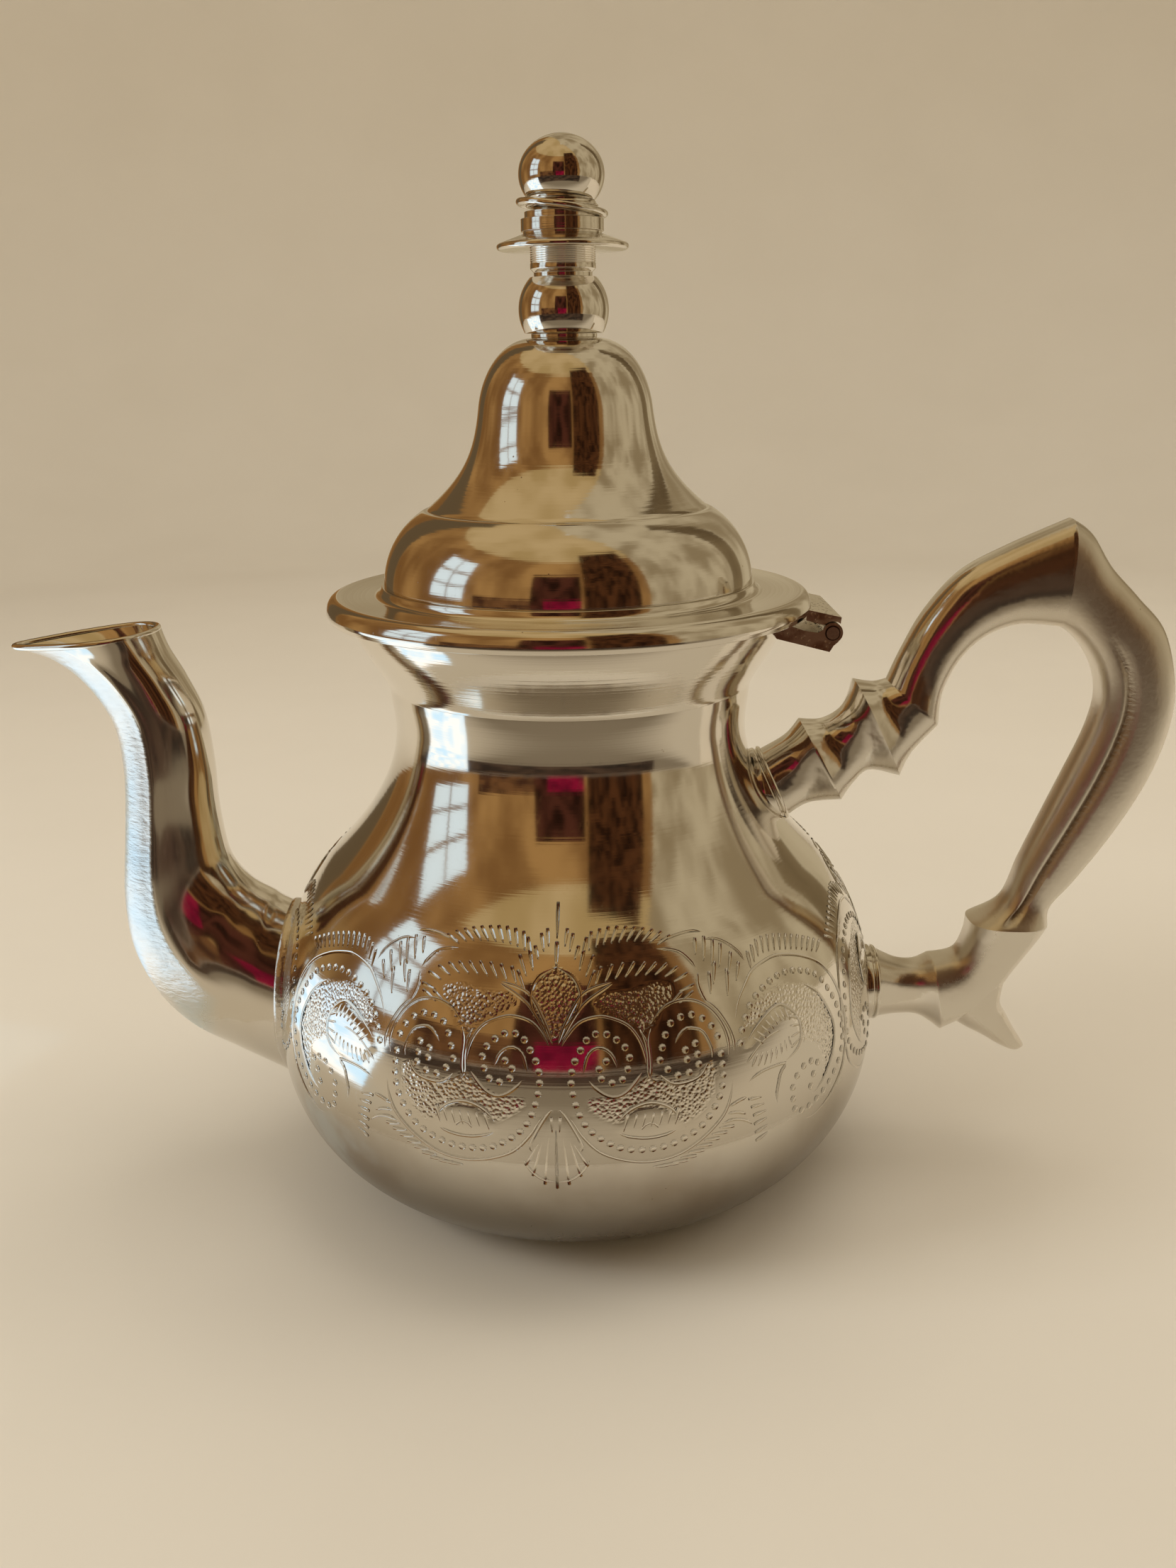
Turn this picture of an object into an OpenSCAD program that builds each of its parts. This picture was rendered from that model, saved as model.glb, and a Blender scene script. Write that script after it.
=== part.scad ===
// Maghrebi tea pot: a spun bulb with a flared collar, a hinged bell lid with a
// turned finial, a two-half swan-neck spout and a cast crook handle.
// The origin is the middle of the flat base, +Z is up, the spout points to -X
// and the handle and the lid hinge are on +X. All sizes are millimetres.

/* [Bulb and neck] */
// Widest radius of the bulb
bulb_r = 66; // [58:0.5:76]
// Height of the widest place above the table
bulb_z = 34.5; // [30:0.5:42]
// Radius of the flat base
base_r = 32; // [26:0.5:40]
// Radius half-way up the sloping shoulder
shoulder_r = 52; // [49:0.5:55]
// Rise from the widest place to the middle of the shoulder
shoulder_h = 39; // [34:0.5:44]
// Radius of the narrowest place of the neck
waist_r = 37.3; // [34:0.1:40]
// Rise from the middle of the shoulder to the waist
waist_h = 28; // [24:0.5:32]
// Rise from the waist to the seam of the collar
seam_h = 8.8; // [6:0.2:12]
// Outer radius of the neck at that seam
seam_r = 38.1; // [37.5:0.1:41]
// Thickness of the body sheet
wall = 1; // [0.8:0.1:1.4]
// Width of the lip that the base disc is set in
base_lip = 2.5; // [1.5:0.5:4]

/* [Strainer] */
// Diameter of each punched hole at the root of the spout
strainer_hole_d = 3; // [2:0.2:3.6]
// Distance between neighbouring holes
strainer_pitch = 5; // [4.6:0.2:6]

/* [Collar] */
// Step by which the collar stands proud of the neck at its seam
collar_step = 0.25; // [0.1:0.05:0.6]
// Outer radius of the rolled rim
rim_r = 46; // [44:0.2:48]
// Radius of the bead rolled into the rim
rim_bead = 1.2; // [1:0.1:1.5]
// Height of the collar from its seam to the top of the rim
collar_h = 17.8; // [15:0.2:20]

/* [Lid] */
// Gap between the rim and the brim that rests over it
lid_gap = 0.3; // [0.2:0.05:0.5]
// Thickness of the lid sheet
lid_wall = 1; // [0.8:0.1:1.2]
// Outermost radius of the brim
brim_r = 50.4; // [49.8:0.2:53]
// Drop from the brim's dish to the lower edge of its rolled border
brim_drop = 4.3; // [3.6:0.1:5]
// Height of the little foot between the dish and the dome
foot_h = 1.8; // [1.2:0.2:2.4]
// Radius of the dome where it stands on the foot
dome_r = 38.3; // [37:0.1:38.6]
// Height of the lower bulge, up to the ledge
bulge_h = 14.8; // [12:0.2:18]
// Radius of the ledge between the two bells
ledge_r = 29.9; // [27:0.1:32]
// Width of the ledge
ledge_w = 1.3; // [0.8:0.1:2]
// Height of the upper bell, from the ledge to its flat crown
bell_h = 33.6; // [28:0.2:38]
// Radius of the upper bell where its side is steepest
bell_r = 17.6; // [16:0.1:19]
// Radius of the flat crown
crown_r = 7; // [6.6:0.1:8]
// Outer radius of the locating ring under the brim
skirt_r = 41; // [40:0.1:41.4]
// Depth of the locating ring below the brim
skirt_h = 7.9; // [5:0.1:8.5]
// Thickness of the locating ring
skirt_wall = 0.8; // [0.6:0.1:1]

/* [Finial] */
// Radius of the stud that holds the stack
stud_r = 2; // [1.5:0.1:2.4]
// Radial clearance of each turned piece on the stud
stud_fit = 0.05; // [0.02:0.01:0.1]
// Radius of the base ring
base_ring_r = 6.6; // [6:0.1:7]
// Thickness of the base ring
base_ring_h = 0.9; // [0.6:0.1:1.5]
// Radius of the lower ball
low_ball_r = 9; // [8:0.1:10]
// Height of the flats-to-flats lower ball
low_ball_h = 10.6; // [9:0.1:12]
// Outer radius of the threaded sleeve
sleeve_r = 6.5; // [6:0.1:7]
// Height of the sleeve
sleeve_h = 5.6; // [4.5:0.1:7]
// Radius of the sleeve's chamfered foot
sleeve_foot_r = 5.8; // [5:0.1:5.9]
// Radius of the dished disc
disc_r = 13; // [11:0.1:15]
// Thickness of the disc at its edge
disc_edge = 1.1; // [0.8:0.1:1.5]
// Rise of the disc from its edge to its seat
disc_rise = 2.1; // [1.5:0.1:3]
// Radius of the spacer above the disc
spacer_r = 8.15; // [7.6:0.05:8.6]
// Height of the spacer
spacer_h = 2.9; // [2:0.1:4]
// Radius of the step on the spacer
spacer_step_r = 7.4; // [6.8:0.1:7.5]
// Height of the step on the spacer
spacer_step_h = 1.3; // [0.8:0.1:2]
// Wire radius of the split spring ring
spring_wire = 0.7; // [0.5:0.05:0.8]
// Tilt of the split spring ring in degrees
spring_tilt = 8; // [6:0.5:9]
// Radius of the neck bead under the top ball
neck_bead_r = 7.2; // [6.8:0.1:7.6]
// Widest radius of the top ball
top_ball_r = 8.4; // [7.6:0.1:9.4]
// Half height of the full top ball
top_ball_h = 7.4; // [6.8:0.1:8.4]

/* [Hinge] */
// Distance of the hinge pin from the pot's axis
hinge_x = 53.5; // [53:0.1:54.5]
// Drop of the hinge pin below the lower edge of the brim
hinge_drop = 3.4; // [3.2:0.1:3.8]
// Width of both leaves
hinge_w = 27; // [22:0.5:30]
// Width of the upper leaf's middle knuckle
knuckle_w = 11; // [8:0.5:13]
// Outer radius of the knuckles
knuckle_r = 2.1; // [1.9:0.05:2.3]
// Radius of the pin
pin_r = 1.3; // [1:0.05:1.4]
// Running clearance of the upper knuckle on the pin
pin_fit = 0.05; // [0.02:0.01:0.08]
// Gap between neighbouring knuckles and round them
knuckle_gap = 0.3; // [0.2:0.05:0.4]

/* [Spout] */
// Half width of the spout where it meets the bulb
spout_root_w = 15; // [13:0.5:17]
// Half width of the spout half-way up
spout_mid_w = 9.4; // [8.5:0.1:11]
// Half width of the open mouth
spout_mouth_w = 10; // [9:0.1:12]
// Thickness of the spout sheet
spout_wall = 1.2; // [1:0.1:1.5]
// Width of the soldered band round the root of the spout
root_band_w = 2.2; // [1.5:0.1:3]
// Thickness of that band
root_band_t = 0.9; // [0.6:0.1:1.4]

/* [Handle] */
// Half thickness of the grip, square to the drawing plane
grip_d = 6; // [5:0.1:8]
// Half thickness of the three ferrule ridges
ridge_d = 8; // [7:0.1:10]
// Height of the upper seat below the waist of the neck
upper_seat_drop = 15.8; // [13:0.2:20]
// Radius of the upper seat flange
upper_flange_r = 8.7; // [8.2:0.1:9.5]
// Height of the lower seat above the widest place
lower_seat_rise = 4; // [0:0.5:8]
// Radius of the lower seat flange
lower_flange_r = 8.6; // [8.2:0.1:9.5]
// Thickness of both flanges outside the body
flange_t = 2.2; // [1.6:0.1:3]

/* [Hidden] */

round_fn = 96;
wire_fn = 24;

// ---- heights, from the table up ----
shoulder_z = bulb_z + shoulder_h;
waist_z = shoulder_z + waist_h;
seam_z = waist_z + seam_h;
rim_z = seam_z + collar_h;
dish_z = rim_z + lid_gap + lid_wall;
brim_low_z = dish_z - brim_drop;
dome_z = dish_z + foot_h;
ledge_z = dome_z + bulge_h;
crown_z = ledge_z + bell_h;
hinge_z = brim_low_z - hinge_drop;

// ---- curves ----
function lerp(a, b, t) = a + (b - a) * t;
function clamp01(t) = min(1, max(0, t));

function bezier(p0, p1, p2, p3, n) = [for (i = [0:n])
    let (t = i / n, u = 1 - t)
    u * u * u * p0 + 3 * u * u * t * p1 + 3 * u * t * t * p2 + t * t * t * p3];

function quarter(centre, rx, rz, n) = [for (i = [0:n])
    centre + [rx * sin(90 * i / n), -rz * cos(90 * i / n)]];

function tail(list) = [for (i = [1:len(list) - 1]) list[i]];
function reversed(list) = [for (i = [len(list) - 1:-1:0]) list[i]];

// The same open curve, moved sideways by d to its left.
function beside(c, d) = let (last = len(c) - 1) [for (i = [0:last])
    let (t = c[min(i + 1, last)] - c[max(i - 1, 0)], u = t / norm(t))
    c[i] + d * [-u[1], u[0]]];

// A sheet: the outer curve and the same curve moved inwards by the wall.
module sheet(curve, t) polygon(concat(curve, reversed(beside(curve, t))));

// Catmull-Rom curve through the rows of a list, n steps to each span.
function smooth(rows, n) = let (last = len(rows) - 1) [
    for (i = [0:last - 1]) let (
        a = rows[max(i - 1, 0)], b = rows[i], c = rows[i + 1], d = rows[min(i + 2, last)])
        for (k = [0:n - 1]) let (t = k / n, t2 = t * t, t3 = t2 * t)
            0.5 * (2 * b + (c - a) * t + (2 * a - 5 * b + 4 * c - d) * t2
                + (3 * b - a - 3 * c + d) * t3),
    rows[last]];

// Joins closed rings of equal length into one solid. An open loft is closed at
// both ends by a strip that pairs the points from the two ends of the ring, so a
// ring may be round or C-shaped. A loft that comes round has no ends.
module loft(rings, comes_round = false) {
    n = len(rings[0]);
    count = len(rings);
    sides = [for (i = [0:count - (comes_round ? 1 : 2)]) for (j = [0:n - 1])
        let (k = (j + 1) % n, next = (i + 1) % count)
        [i * n + j, i * n + k, next * n + k, next * n + j]];
    first_cap = [for (j = [0:n / 2 - 2]) [j + 1, j, n - 1 - j, n - 2 - j]];
    last_cap = [for (f = first_cap) [for (v = reversed(f)) v + (count - 1) * n]];
    polyhedron([for (r = rings) for (p = r) p],
        comes_round ? sides : concat(sides, first_cap, last_cap), convexity = 8);
}

// ---- outlines turned round the axis ----
bulb_curve = concat(
    quarter([base_r, bulb_z], bulb_r - base_r, bulb_z, 12),
    tail(bezier([bulb_r, bulb_z], [bulb_r, bulb_z + 0.42 * shoulder_h],
        [shoulder_r, shoulder_z] + 10 * [1, -1], [shoulder_r, shoulder_z], 10)),
    tail(bezier([shoulder_r, shoulder_z], [shoulder_r, shoulder_z] + 7.8 * [-1, 1],
        [waist_r, waist_z - 0.36 * waist_h], [waist_r, waist_z], 9)),
    tail(bezier([waist_r, waist_z], [waist_r, waist_z + 0.3 * seam_h],
        [seam_r, seam_z - 0.3 * seam_h], [seam_r, seam_z], 3)));

collar_foot_r = seam_r + collar_step;
collar_curve = bezier([collar_foot_r, seam_z], [collar_foot_r + 0.4, seam_z + 0.15 * collar_h],
    [rim_r, rim_z - 0.36 * collar_h], [rim_r, rim_z - rim_bead], 8);

brim_in_r = dome_r - 3.4;
dish_in_r = dome_r + 1.8;
ridge_r = brim_r - 2.4;
brim_curve = concat(
    [[brim_r - 0.5, brim_low_z]],
    bezier([brim_r, brim_low_z + 1.1], [brim_r, dish_z - 1],
        [ridge_r + 1.2, dish_z + 0.2], [ridge_r, dish_z + 0.2], 5),
    [[ridge_r - 1.4, dish_z], [dish_in_r + 0.4, dish_z]],
    tail(bezier([dish_in_r + 0.4, dish_z], [dish_in_r - 0.8, dish_z],
        [dome_r + 0.7, dish_z + 0.5 * foot_h], [dome_r + 0.5, dome_z], 3)),
    [[brim_in_r, dome_z]]);

dome_curve = concat([[dome_r, dome_z]],
    bezier([dome_r, dome_z + 0.3], [dome_r - 0.3, dome_z + 0.43 * bulge_h],
        [ledge_r + 5.1, ledge_z - 0.24 * bulge_h], [ledge_r, ledge_z], 8),
    bezier([ledge_r - ledge_w, ledge_z + 0.7], [ledge_r - 9.4, ledge_z + 0.22 * bell_h],
        [bell_r + 1.1, ledge_z + 0.36 * bell_h], [bell_r, ledge_z + 0.62 * bell_h], 9),
    tail(bezier([bell_r, ledge_z + 0.62 * bell_h], [bell_r - 1, ledge_z + 0.82 * bell_h],
        [crown_r + 5.6, crown_z - 0.4], [crown_r, crown_z], 7)));

module body_outside() rotate_extrude($fn = round_fn)
    polygon(concat([[0, 0]], bulb_curve, [[0, seam_z]]));

module collar_outside() rotate_extrude($fn = round_fn)
    polygon(concat([[0, seam_z]], collar_curve, [[0, rim_z - rim_bead]]));

module brim_outside() rotate_extrude($fn = round_fn)
    polygon(concat([[0, hinge_z - 5], [brim_r - 0.5, hinge_z - 5]], brim_curve, [[0, dome_z]]));

// Radius of the neck's outside at a height on the upper shoulder.
function curve_r(z) = let (hits = [for (i = [1:len(bulb_curve) - 1])
        if (bulb_curve[i - 1][1] <= z && z < bulb_curve[i][1]) i], i = hits[len(hits) - 1])
    lerp(bulb_curve[i - 1][0], bulb_curve[i][0],
        (z - bulb_curve[i - 1][1]) / (bulb_curve[i][1] - bulb_curve[i - 1][1]));

// ---- bulb ----
base_seat_r = base_r - base_lip;
strainer_z = bulb_z + 5.5;

module strainer_holes() {
    row_step = strainer_pitch * sin(60);
    for (row = [-2:2], col = [-2:2]) {
        y = (col + 0.5 * (abs(row) % 2)) * strainer_pitch;
        z = row * row_step;
        if (norm([y, z]) < 2.2 * strainer_pitch)
            translate([-bulb_r - 1, y, strainer_z + z])
                rotate([0, 90, 0]) cylinder(r = strainer_hole_d / 2, h = 12, $fn = wire_fn);
    }
}

module body_shell() color("silver") difference() {
    rotate_extrude($fn = round_fn) union() {
        sheet(bulb_curve, wall);
        translate([base_seat_r, 0]) square([base_lip, wall]);
    }
    strainer_holes();
}

module base_disc() color("silver") cylinder(r = base_seat_r, h = wall, $fn = round_fn);

// ---- collar ----
module neck_collar() color("silver") rotate_extrude($fn = round_fn) union() {
    sheet(collar_curve, wall);
    translate([rim_r - rim_bead, rim_z - rim_bead]) circle(r = rim_bead, $fn = wire_fn);
}

// ---- spout ----
// Each row is a cross-section: front x and z, back x and z, half width and how
// far its widest place lies towards the back. x runs outwards from the bulb's
// widest radius and z from the widest height.
spout_rows = [
    [-11, -20.5, -14, 20.5, spout_root_w, 0],
    [4, -12.4, -2, 25.4, spout_root_w, 0],
    [11, -8.7, 1.6, 27.8, spout_root_w - 0.4, 0],
    [20.5, -3.4, 5.4, 30.2, spout_root_w - 1.2, 0],
    [28, 4.2, 8.4, 33.6, 0.5 * (spout_root_w + spout_mid_w), 0],
    [33, 15.5, 10.4, 38, spout_mid_w + 1.6, 0],
    [33.9, 28, 11.3, 44.5, spout_mid_w + 0.8, 0],
    [32.4, 42, 11.7, 50.5, spout_mid_w, 0],
    [31.1, 56, 11.8, 58.5, spout_mid_w - 0.2, 0],
    [32.2, 67.2, 13, 69, spout_mid_w - 0.4, 0.1],
    [36.8, 75.6, 16.2, 76.8, spout_mid_w - 0.3, 0.2],
    [43.6, 81.4, 19.4, 82.8, spout_mouth_w - 0.6, 0.35],
    [52.2, 84.2, 21, 87.4, spout_mouth_w, 0.5]];
spout_steps = 3;
arc_steps = 10;

// Half a cross-section, from its back (a = 0) round one side to its front.
// in draws it by that much smaller; side is -1 for the left half, 1 for the right.
function spout_arc(row, in, side) =
    let (front = [-bulb_r - row[0], bulb_z + row[1]], back = [-bulb_r - row[2], bulb_z + row[3]],
        mid = 0.5 * (front + back), half = 0.5 * norm(front - back) - in,
        dir = (front - back) / norm(front - back))
    [for (i = [0:arc_steps]) let (a = 180 * i / arc_steps, c = -cos(a), s = sin(a),
            p = mid + half * c * dir)
        [p[0], side * (row[4] - in) * s * (1 - row[5] * c), p[1]]];

module spout_half(side) difference() {
    rings = [for (row = smooth(spout_rows, spout_steps))
        let (outer = spout_arc(row, 0, side), inner = spout_arc(row, spout_wall, side),
            ring = concat(outer, reversed(inner)))
        side > 0 ? ring : reversed(ring)];
    loft(rings);
    body_outside();
}

module spout_left_half() color("gainsboro") spout_half(-1);
module spout_right_half() color("gainsboro") spout_half(1);

// The whole cross-section, round both sides.
function spout_round(row, in) = concat(spout_arc(row, in, 1),
    [for (p = reversed(spout_arc(row, in, -1))) if (abs(p[1]) > 0.001) p]);

// The band lies on the bulb and hugs the outside of both halves.
module spout_root_band() color("silver") intersection() {
    rows = smooth([for (i = [0:3]) spout_rows[i]], spout_steps);
    outer = [for (row = rows) spout_round(row, -root_band_t)];
    inner = [for (row = rows) spout_round(row, 0)];
    loft([for (j = [0:len(outer[0]) - 1])
        concat([for (r = outer) r[j]], [for (r = reversed(inner)) r[j]])], comes_round = true);
    rotate_extrude($fn = round_fn)
        polygon(concat(bulb_curve, reversed(beside(bulb_curve, -root_band_w))));
}

// ---- handle ----
// Rows of the cast handle: outer x and z, inner x and z, half thickness. They
// are drawn on the seats below and then moved with the real seats of the body.
drawn_up = [41.85, 85.7];
drawn_low = [66, 38.5];
upper_lean = 23.9;
end_r = 7.5;
end_d = 7;
ridge_up = [49, 100.2, 58.2, 82.9, ridge_d];
ridge_mid = [60.4, 108.9, 70.5, 88.1, ridge_d + 0.6];
ridge_top = [67.5, 108.8, 78.4, 99.3, grip_d + 0.8];
peak = [104.1, 142.6, 103, 120.1, grip_d + 0.4];
knop = [105.9, 52.9, 88.5, 53.6, grip_d + 1.6];
ridge_low = [83, 27.6, 80.6, 44.7, grip_d + 1];
upper_end = let (c = drawn_up + flange_t * [cos(upper_lean), sin(upper_lean)],
        n = end_r * [-sin(upper_lean), cos(upper_lean)])
    concat(c + n, c - n, [end_d]);
lower_end = let (c = drawn_low + [flange_t, 0], n = [0, -end_r]) concat(c + n, c - n, [end_d]);

handle_runs = [
    [upper_end, [46.1, 96.7, 51.3, 82.2, 6.6], ridge_up],
    [ridge_up, [54, 100.3, 60.7, 86.5, 6.4], [58.4, 103.2, 64, 89.4, 6.6], ridge_mid],
    [ridge_mid, [64.5, 108.3, 73, 93.2, 7], ridge_top],
    [ridge_top, [70.4, 115.6, 79, 106.3, grip_d], [74.9, 123.9, 82.2, 113.3, grip_d],
        [81.9, 131.9, 87.3, 118.2, grip_d], [91.5, 137.2, 94.3, 120.7, grip_d], peak],
    [peak, [108.2, 139.6, 105.6, 118.5, grip_d + 0.2], [112.8, 132.8, 108.8, 115.1, grip_d],
        [119, 126.3, 111.2, 110.9, grip_d], [125.4, 118.9, 112.4, 106.2, grip_d],
        [128.7, 107, 112.1, 101.6, grip_d], [128.2, 97, 110.3, 95.4, grip_d],
        [124.6, 85.8, 106.8, 87, grip_d], [118.3, 74, 102.8, 77.6, grip_d - 0.3],
        [111.1, 63.2, 98.8, 67.6, grip_d - 0.8], [106.3, 57.2, 95.4, 58.3, grip_d - 0.8], knop],
    [knop, [104.2, 49.4, 88, 50.2, grip_d + 0.6], [99.6, 42.4, 86.6, 46.6, grip_d],
        [93, 33, 84.6, 45.4, grip_d], ridge_low],
    [ridge_low, [78, 31, 77.2, 43.4, grip_d - 0.4], [73, 31.4, 73, 43.8, grip_d - 0.4],
        lower_end]];
spur_rows = [
    [98, 42, 84, 31, grip_d - 0.6], [96.8, 34.6, 88.5, 28.1, grip_d - 0.8],
    [98.6, 30.4, 92.8, 25.7, grip_d - 1.6], [101.1, 26, 97.2, 22.9, grip_d - 2.6],
    [103, 23, 100.6, 21.2, 1.9], [103.4, 22, 102.5, 21.3, 0.7]];
handle_steps = 3;
section_steps = 16;

upper_seat_z = waist_z - upper_seat_drop;
lower_seat_z = bulb_z + lower_seat_rise;
upper_move = [curve_r(upper_seat_z), upper_seat_z] - drawn_up;
lower_move = [bulb_r, lower_seat_z] - drawn_low;

// Both ends keep their shape, and the grip between them takes up the difference.
function seated(p) = let (low_end = drawn_low[1] + end_r, up_end = drawn_up[1] - end_r)
    p + lerp(lower_move, upper_move, clamp01((p[1] - low_end) / (up_end - low_end)));

// A boxy round between the outer and the inner point of a row.
function handle_ring(row) =
    let (outer = seated([row[0], row[1]]), inner = seated([row[2], row[3]]),
        mid = 0.5 * (outer + inner), arm = 0.5 * (outer - inner), e = 2 / 2.7)
    [for (i = [0:section_steps - 1]) let (a = 360 * i / section_steps, c = cos(a), s = sin(a),
            p = mid + arm * sign(c) * pow(abs(c), e))
        [p[0], row[4] * sign(s) * pow(abs(s), e), p[1]]];

function joined(runs, i = 0) = i == len(runs) - 1 ? smooth(runs[i], handle_steps)
    : concat(smooth(runs[i], handle_steps), tail(joined(runs, i + 1)));

module handle() color("lightgray") union() {
    loft([for (row = joined(handle_runs)) handle_ring(row)]);
    loft([for (row = smooth(spur_rows, handle_steps)) handle_ring(row)]);
}

module handle_upper_flange() color("silver") difference() {
    translate([drawn_up[0] + upper_move[0], 0, drawn_up[1] + upper_move[1]])
        rotate([0, 90 - upper_lean, 0]) translate([0, 0, -6])
            cylinder(r = upper_flange_r, h = 6 + flange_t, $fn = round_fn);
    body_outside();
}

module handle_lower_flange() color("silver") difference() {
    translate([bulb_r - 6, 0, lower_seat_z])
        rotate([0, 90, 0]) cylinder(r = lower_flange_r, h = 6 + flange_t, $fn = round_fn);
    body_outside();
}

// ---- hinge ----
// Both leaves are drawn round the pin, in x and z, in knuckle radii.
side_cut = knuckle_r + knuckle_gap;

module at_hinge() translate([hinge_x, 0, hinge_z]) rotate([90, 0, 0]) children();

module across(w) translate([0, 0, -w / 2]) linear_extrude(w) children();

module hinge_lower_leaf() color("rosybrown") difference() {
    at_hinge() difference() {
        union() {
            across(hinge_w) polygon(knuckle_r * [[-7.62, 0.67], [-4.1, 0.76], [-1.76, -0.1],
                [-0.6, 0.48], [0, 0], [0.6, -0.86], [0.14, -1.24], [-0.24, -1.86], [-7.62, 0.57]]);
            across(hinge_w) polygon(knuckle_r
                * [[-6.19, -0.29], [-4.38, 0.81], [-2.86, 0.29], [0, -0.19], [-0.24, -1.86]]);
            cylinder(r = knuckle_r, h = hinge_w, center = true, $fn = round_fn);
        }
        cylinder(r = pin_r, h = 2 * hinge_w, center = true, $fn = round_fn);
        cylinder(r = side_cut, h = knuckle_w + 2 * knuckle_gap, center = true, $fn = round_fn);
    }
    collar_outside();
}

module hinge_pin() color("dimgray") at_hinge()
    cylinder(r = pin_r, h = hinge_w + 0.6, center = true, $fn = round_fn);

module hinge_upper_leaf() color("rosybrown") difference() {
    at_hinge() difference() {
        union() {
            difference() {
                across(hinge_w) polygon(knuckle_r * [[-4.29, 2.71], [-2.67, 2.33],
                    [0.81, 1.52], [0.71, 0.67], [-1.05, 0.81], [-2.67, 1.29], [-4.29, 1.71]]);
                cylinder(r = side_cut, h = 2 * hinge_w, center = true, $fn = round_fn);
            }
            intersection() {
                cylinder(r = side_cut + 0.4, h = knuckle_w, center = true, $fn = round_fn);
                across(knuckle_w) polygon(knuckle_r
                    * [[-0.9, 0], [-0.9, 1.43], [0.71, 1.43], [0.71, 0]]);
            }
            cylinder(r = knuckle_r, h = knuckle_w, center = true, $fn = round_fn);
        }
        cylinder(r = pin_r + pin_fit, h = 2 * hinge_w, center = true, $fn = round_fn);
    }
    brim_outside();
}

// ---- lid ----
module lid_brim() color("silver") rotate_extrude($fn = round_fn) sheet(brim_curve, lid_wall);

module lid_dome() color("gold") difference() {
    rotate_extrude($fn = round_fn) union() {
        sheet(dome_curve, lid_wall);
        translate([0, crown_z - lid_wall]) square([crown_r + 0.4, lid_wall]);
    }
    translate([0, 0, crown_z - 5]) cylinder(r = stud_r + stud_fit, h = 10, $fn = round_fn);
}

module lid_skirt() color("silver") rotate_extrude($fn = round_fn)
    translate([skirt_r - skirt_wall, dish_z - lid_wall - skirt_h]) square([skirt_wall, skirt_h]);

// ---- finial, from the crown up ----
low_ball_z = crown_z + base_ring_h;
sleeve_z = low_ball_z + low_ball_h;
disc_z = sleeve_z + sleeve_h;
spacer_z = disc_z + disc_edge + disc_rise - 1;
bead_z = spacer_z + spacer_h + spacer_step_h;
bead_h = 2;
spring_r = spacer_step_r + spring_wire + 0.3;
top_ball_cut = 0.64 * top_ball_h;
top_ball_z = bead_z + bead_h + top_ball_cut;
nut_h = 3;
washer_h = 0.8;
thread_end = 1;
stud_low_z = crown_z - lid_wall - washer_h - nut_h - thread_end;
stud_top_z = top_ball_z + 2;

// The hole that each piece of the stack is threaded on.
module stud_hole(top_z = stud_top_z + 1) translate([0, 0, stud_low_z - 1])
    cylinder(r = stud_r + stud_fit, h = top_z - stud_low_z + 1, $fn = round_fn);

// A turned piece: half outline in r and z, bored for the stud.
module turned(z, outline) difference() {
    translate([0, 0, z]) rotate_extrude($fn = round_fn) polygon(outline);
    stud_hole();
}

module finial_stud() color("silver") translate([0, 0, stud_low_z])
    cylinder(r = stud_r, h = stud_top_z - stud_low_z, $fn = round_fn);

module finial_washer() color("silver") difference() {
    translate([0, 0, crown_z - lid_wall - washer_h])
        cylinder(r = 2.4 * stud_r, h = washer_h, $fn = round_fn);
    stud_hole();
}

module finial_nut() color("silver") difference() {
    translate([0, 0, crown_z - lid_wall - washer_h - nut_h])
        cylinder(r = 2 * stud_r, h = nut_h, $fn = 6);
    stud_hole();
}

module finial_base_ring() color("silver")
    turned(crown_z, [[0, 0], [base_ring_r, 0], [base_ring_r, base_ring_h], [0, base_ring_h]]);

// A ball cut flat above and below, its middle a little under half its height.
module finial_lower_ball() color("gold") difference() {
    translate([0, 0, low_ball_z]) intersection() {
        translate([0, 0, 0.42 * low_ball_h]) sphere(r = low_ball_r, $fn = round_fn);
        cylinder(r = low_ball_r + 1, h = low_ball_h, $fn = round_fn);
    }
    stud_hole();
}

module finial_sleeve() color("silver")
    turned(sleeve_z, [[0, 0], [sleeve_foot_r, 0], [sleeve_foot_r, 0.8], [sleeve_r, 1.5],
        [sleeve_r, sleeve_h], [0, sleeve_h]]);

// The disc is a spun dish: its under side rises towards the sleeve.
module finial_disc() color("silver")
    turned(disc_z, [[0, 0], [sleeve_r + 0.2, 0], [disc_r - 0.4, -0.7], [disc_r, -0.3],
        [disc_r, disc_edge - 0.8], [disc_r - 0.4, disc_edge - 0.5],
        [spacer_r, disc_edge + disc_rise - 1], [0, disc_edge + disc_rise - 1]]);

module finial_spacer() color("silver")
    turned(spacer_z, [[0, 0], [spacer_r - 0.4, 0], [spacer_r - 0.4, 0.5], [spacer_r, 0.5],
        [spacer_r, spacer_h], [spacer_step_r, spacer_h],
        [spacer_step_r, spacer_h + spacer_step_h], [0, spacer_h + spacer_step_h]]);

// One turn of round wire, split at the back and slumped to one side.
module finial_spring_ring() color("silver")
    translate([0, 0, spacer_z + spacer_h + spring_wire + (spring_r + spring_wire) * sin(spring_tilt)])
        rotate([0, spring_tilt, 0]) difference() {
            rotate_extrude($fn = round_fn) translate([spring_r, 0])
                circle(r = spring_wire, $fn = wire_fn);
            translate([-spring_wire, spring_r - 2 * spring_wire, -2 * spring_wire])
                cube(4 * spring_wire * [0.5, 1, 1]);
        }

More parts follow.
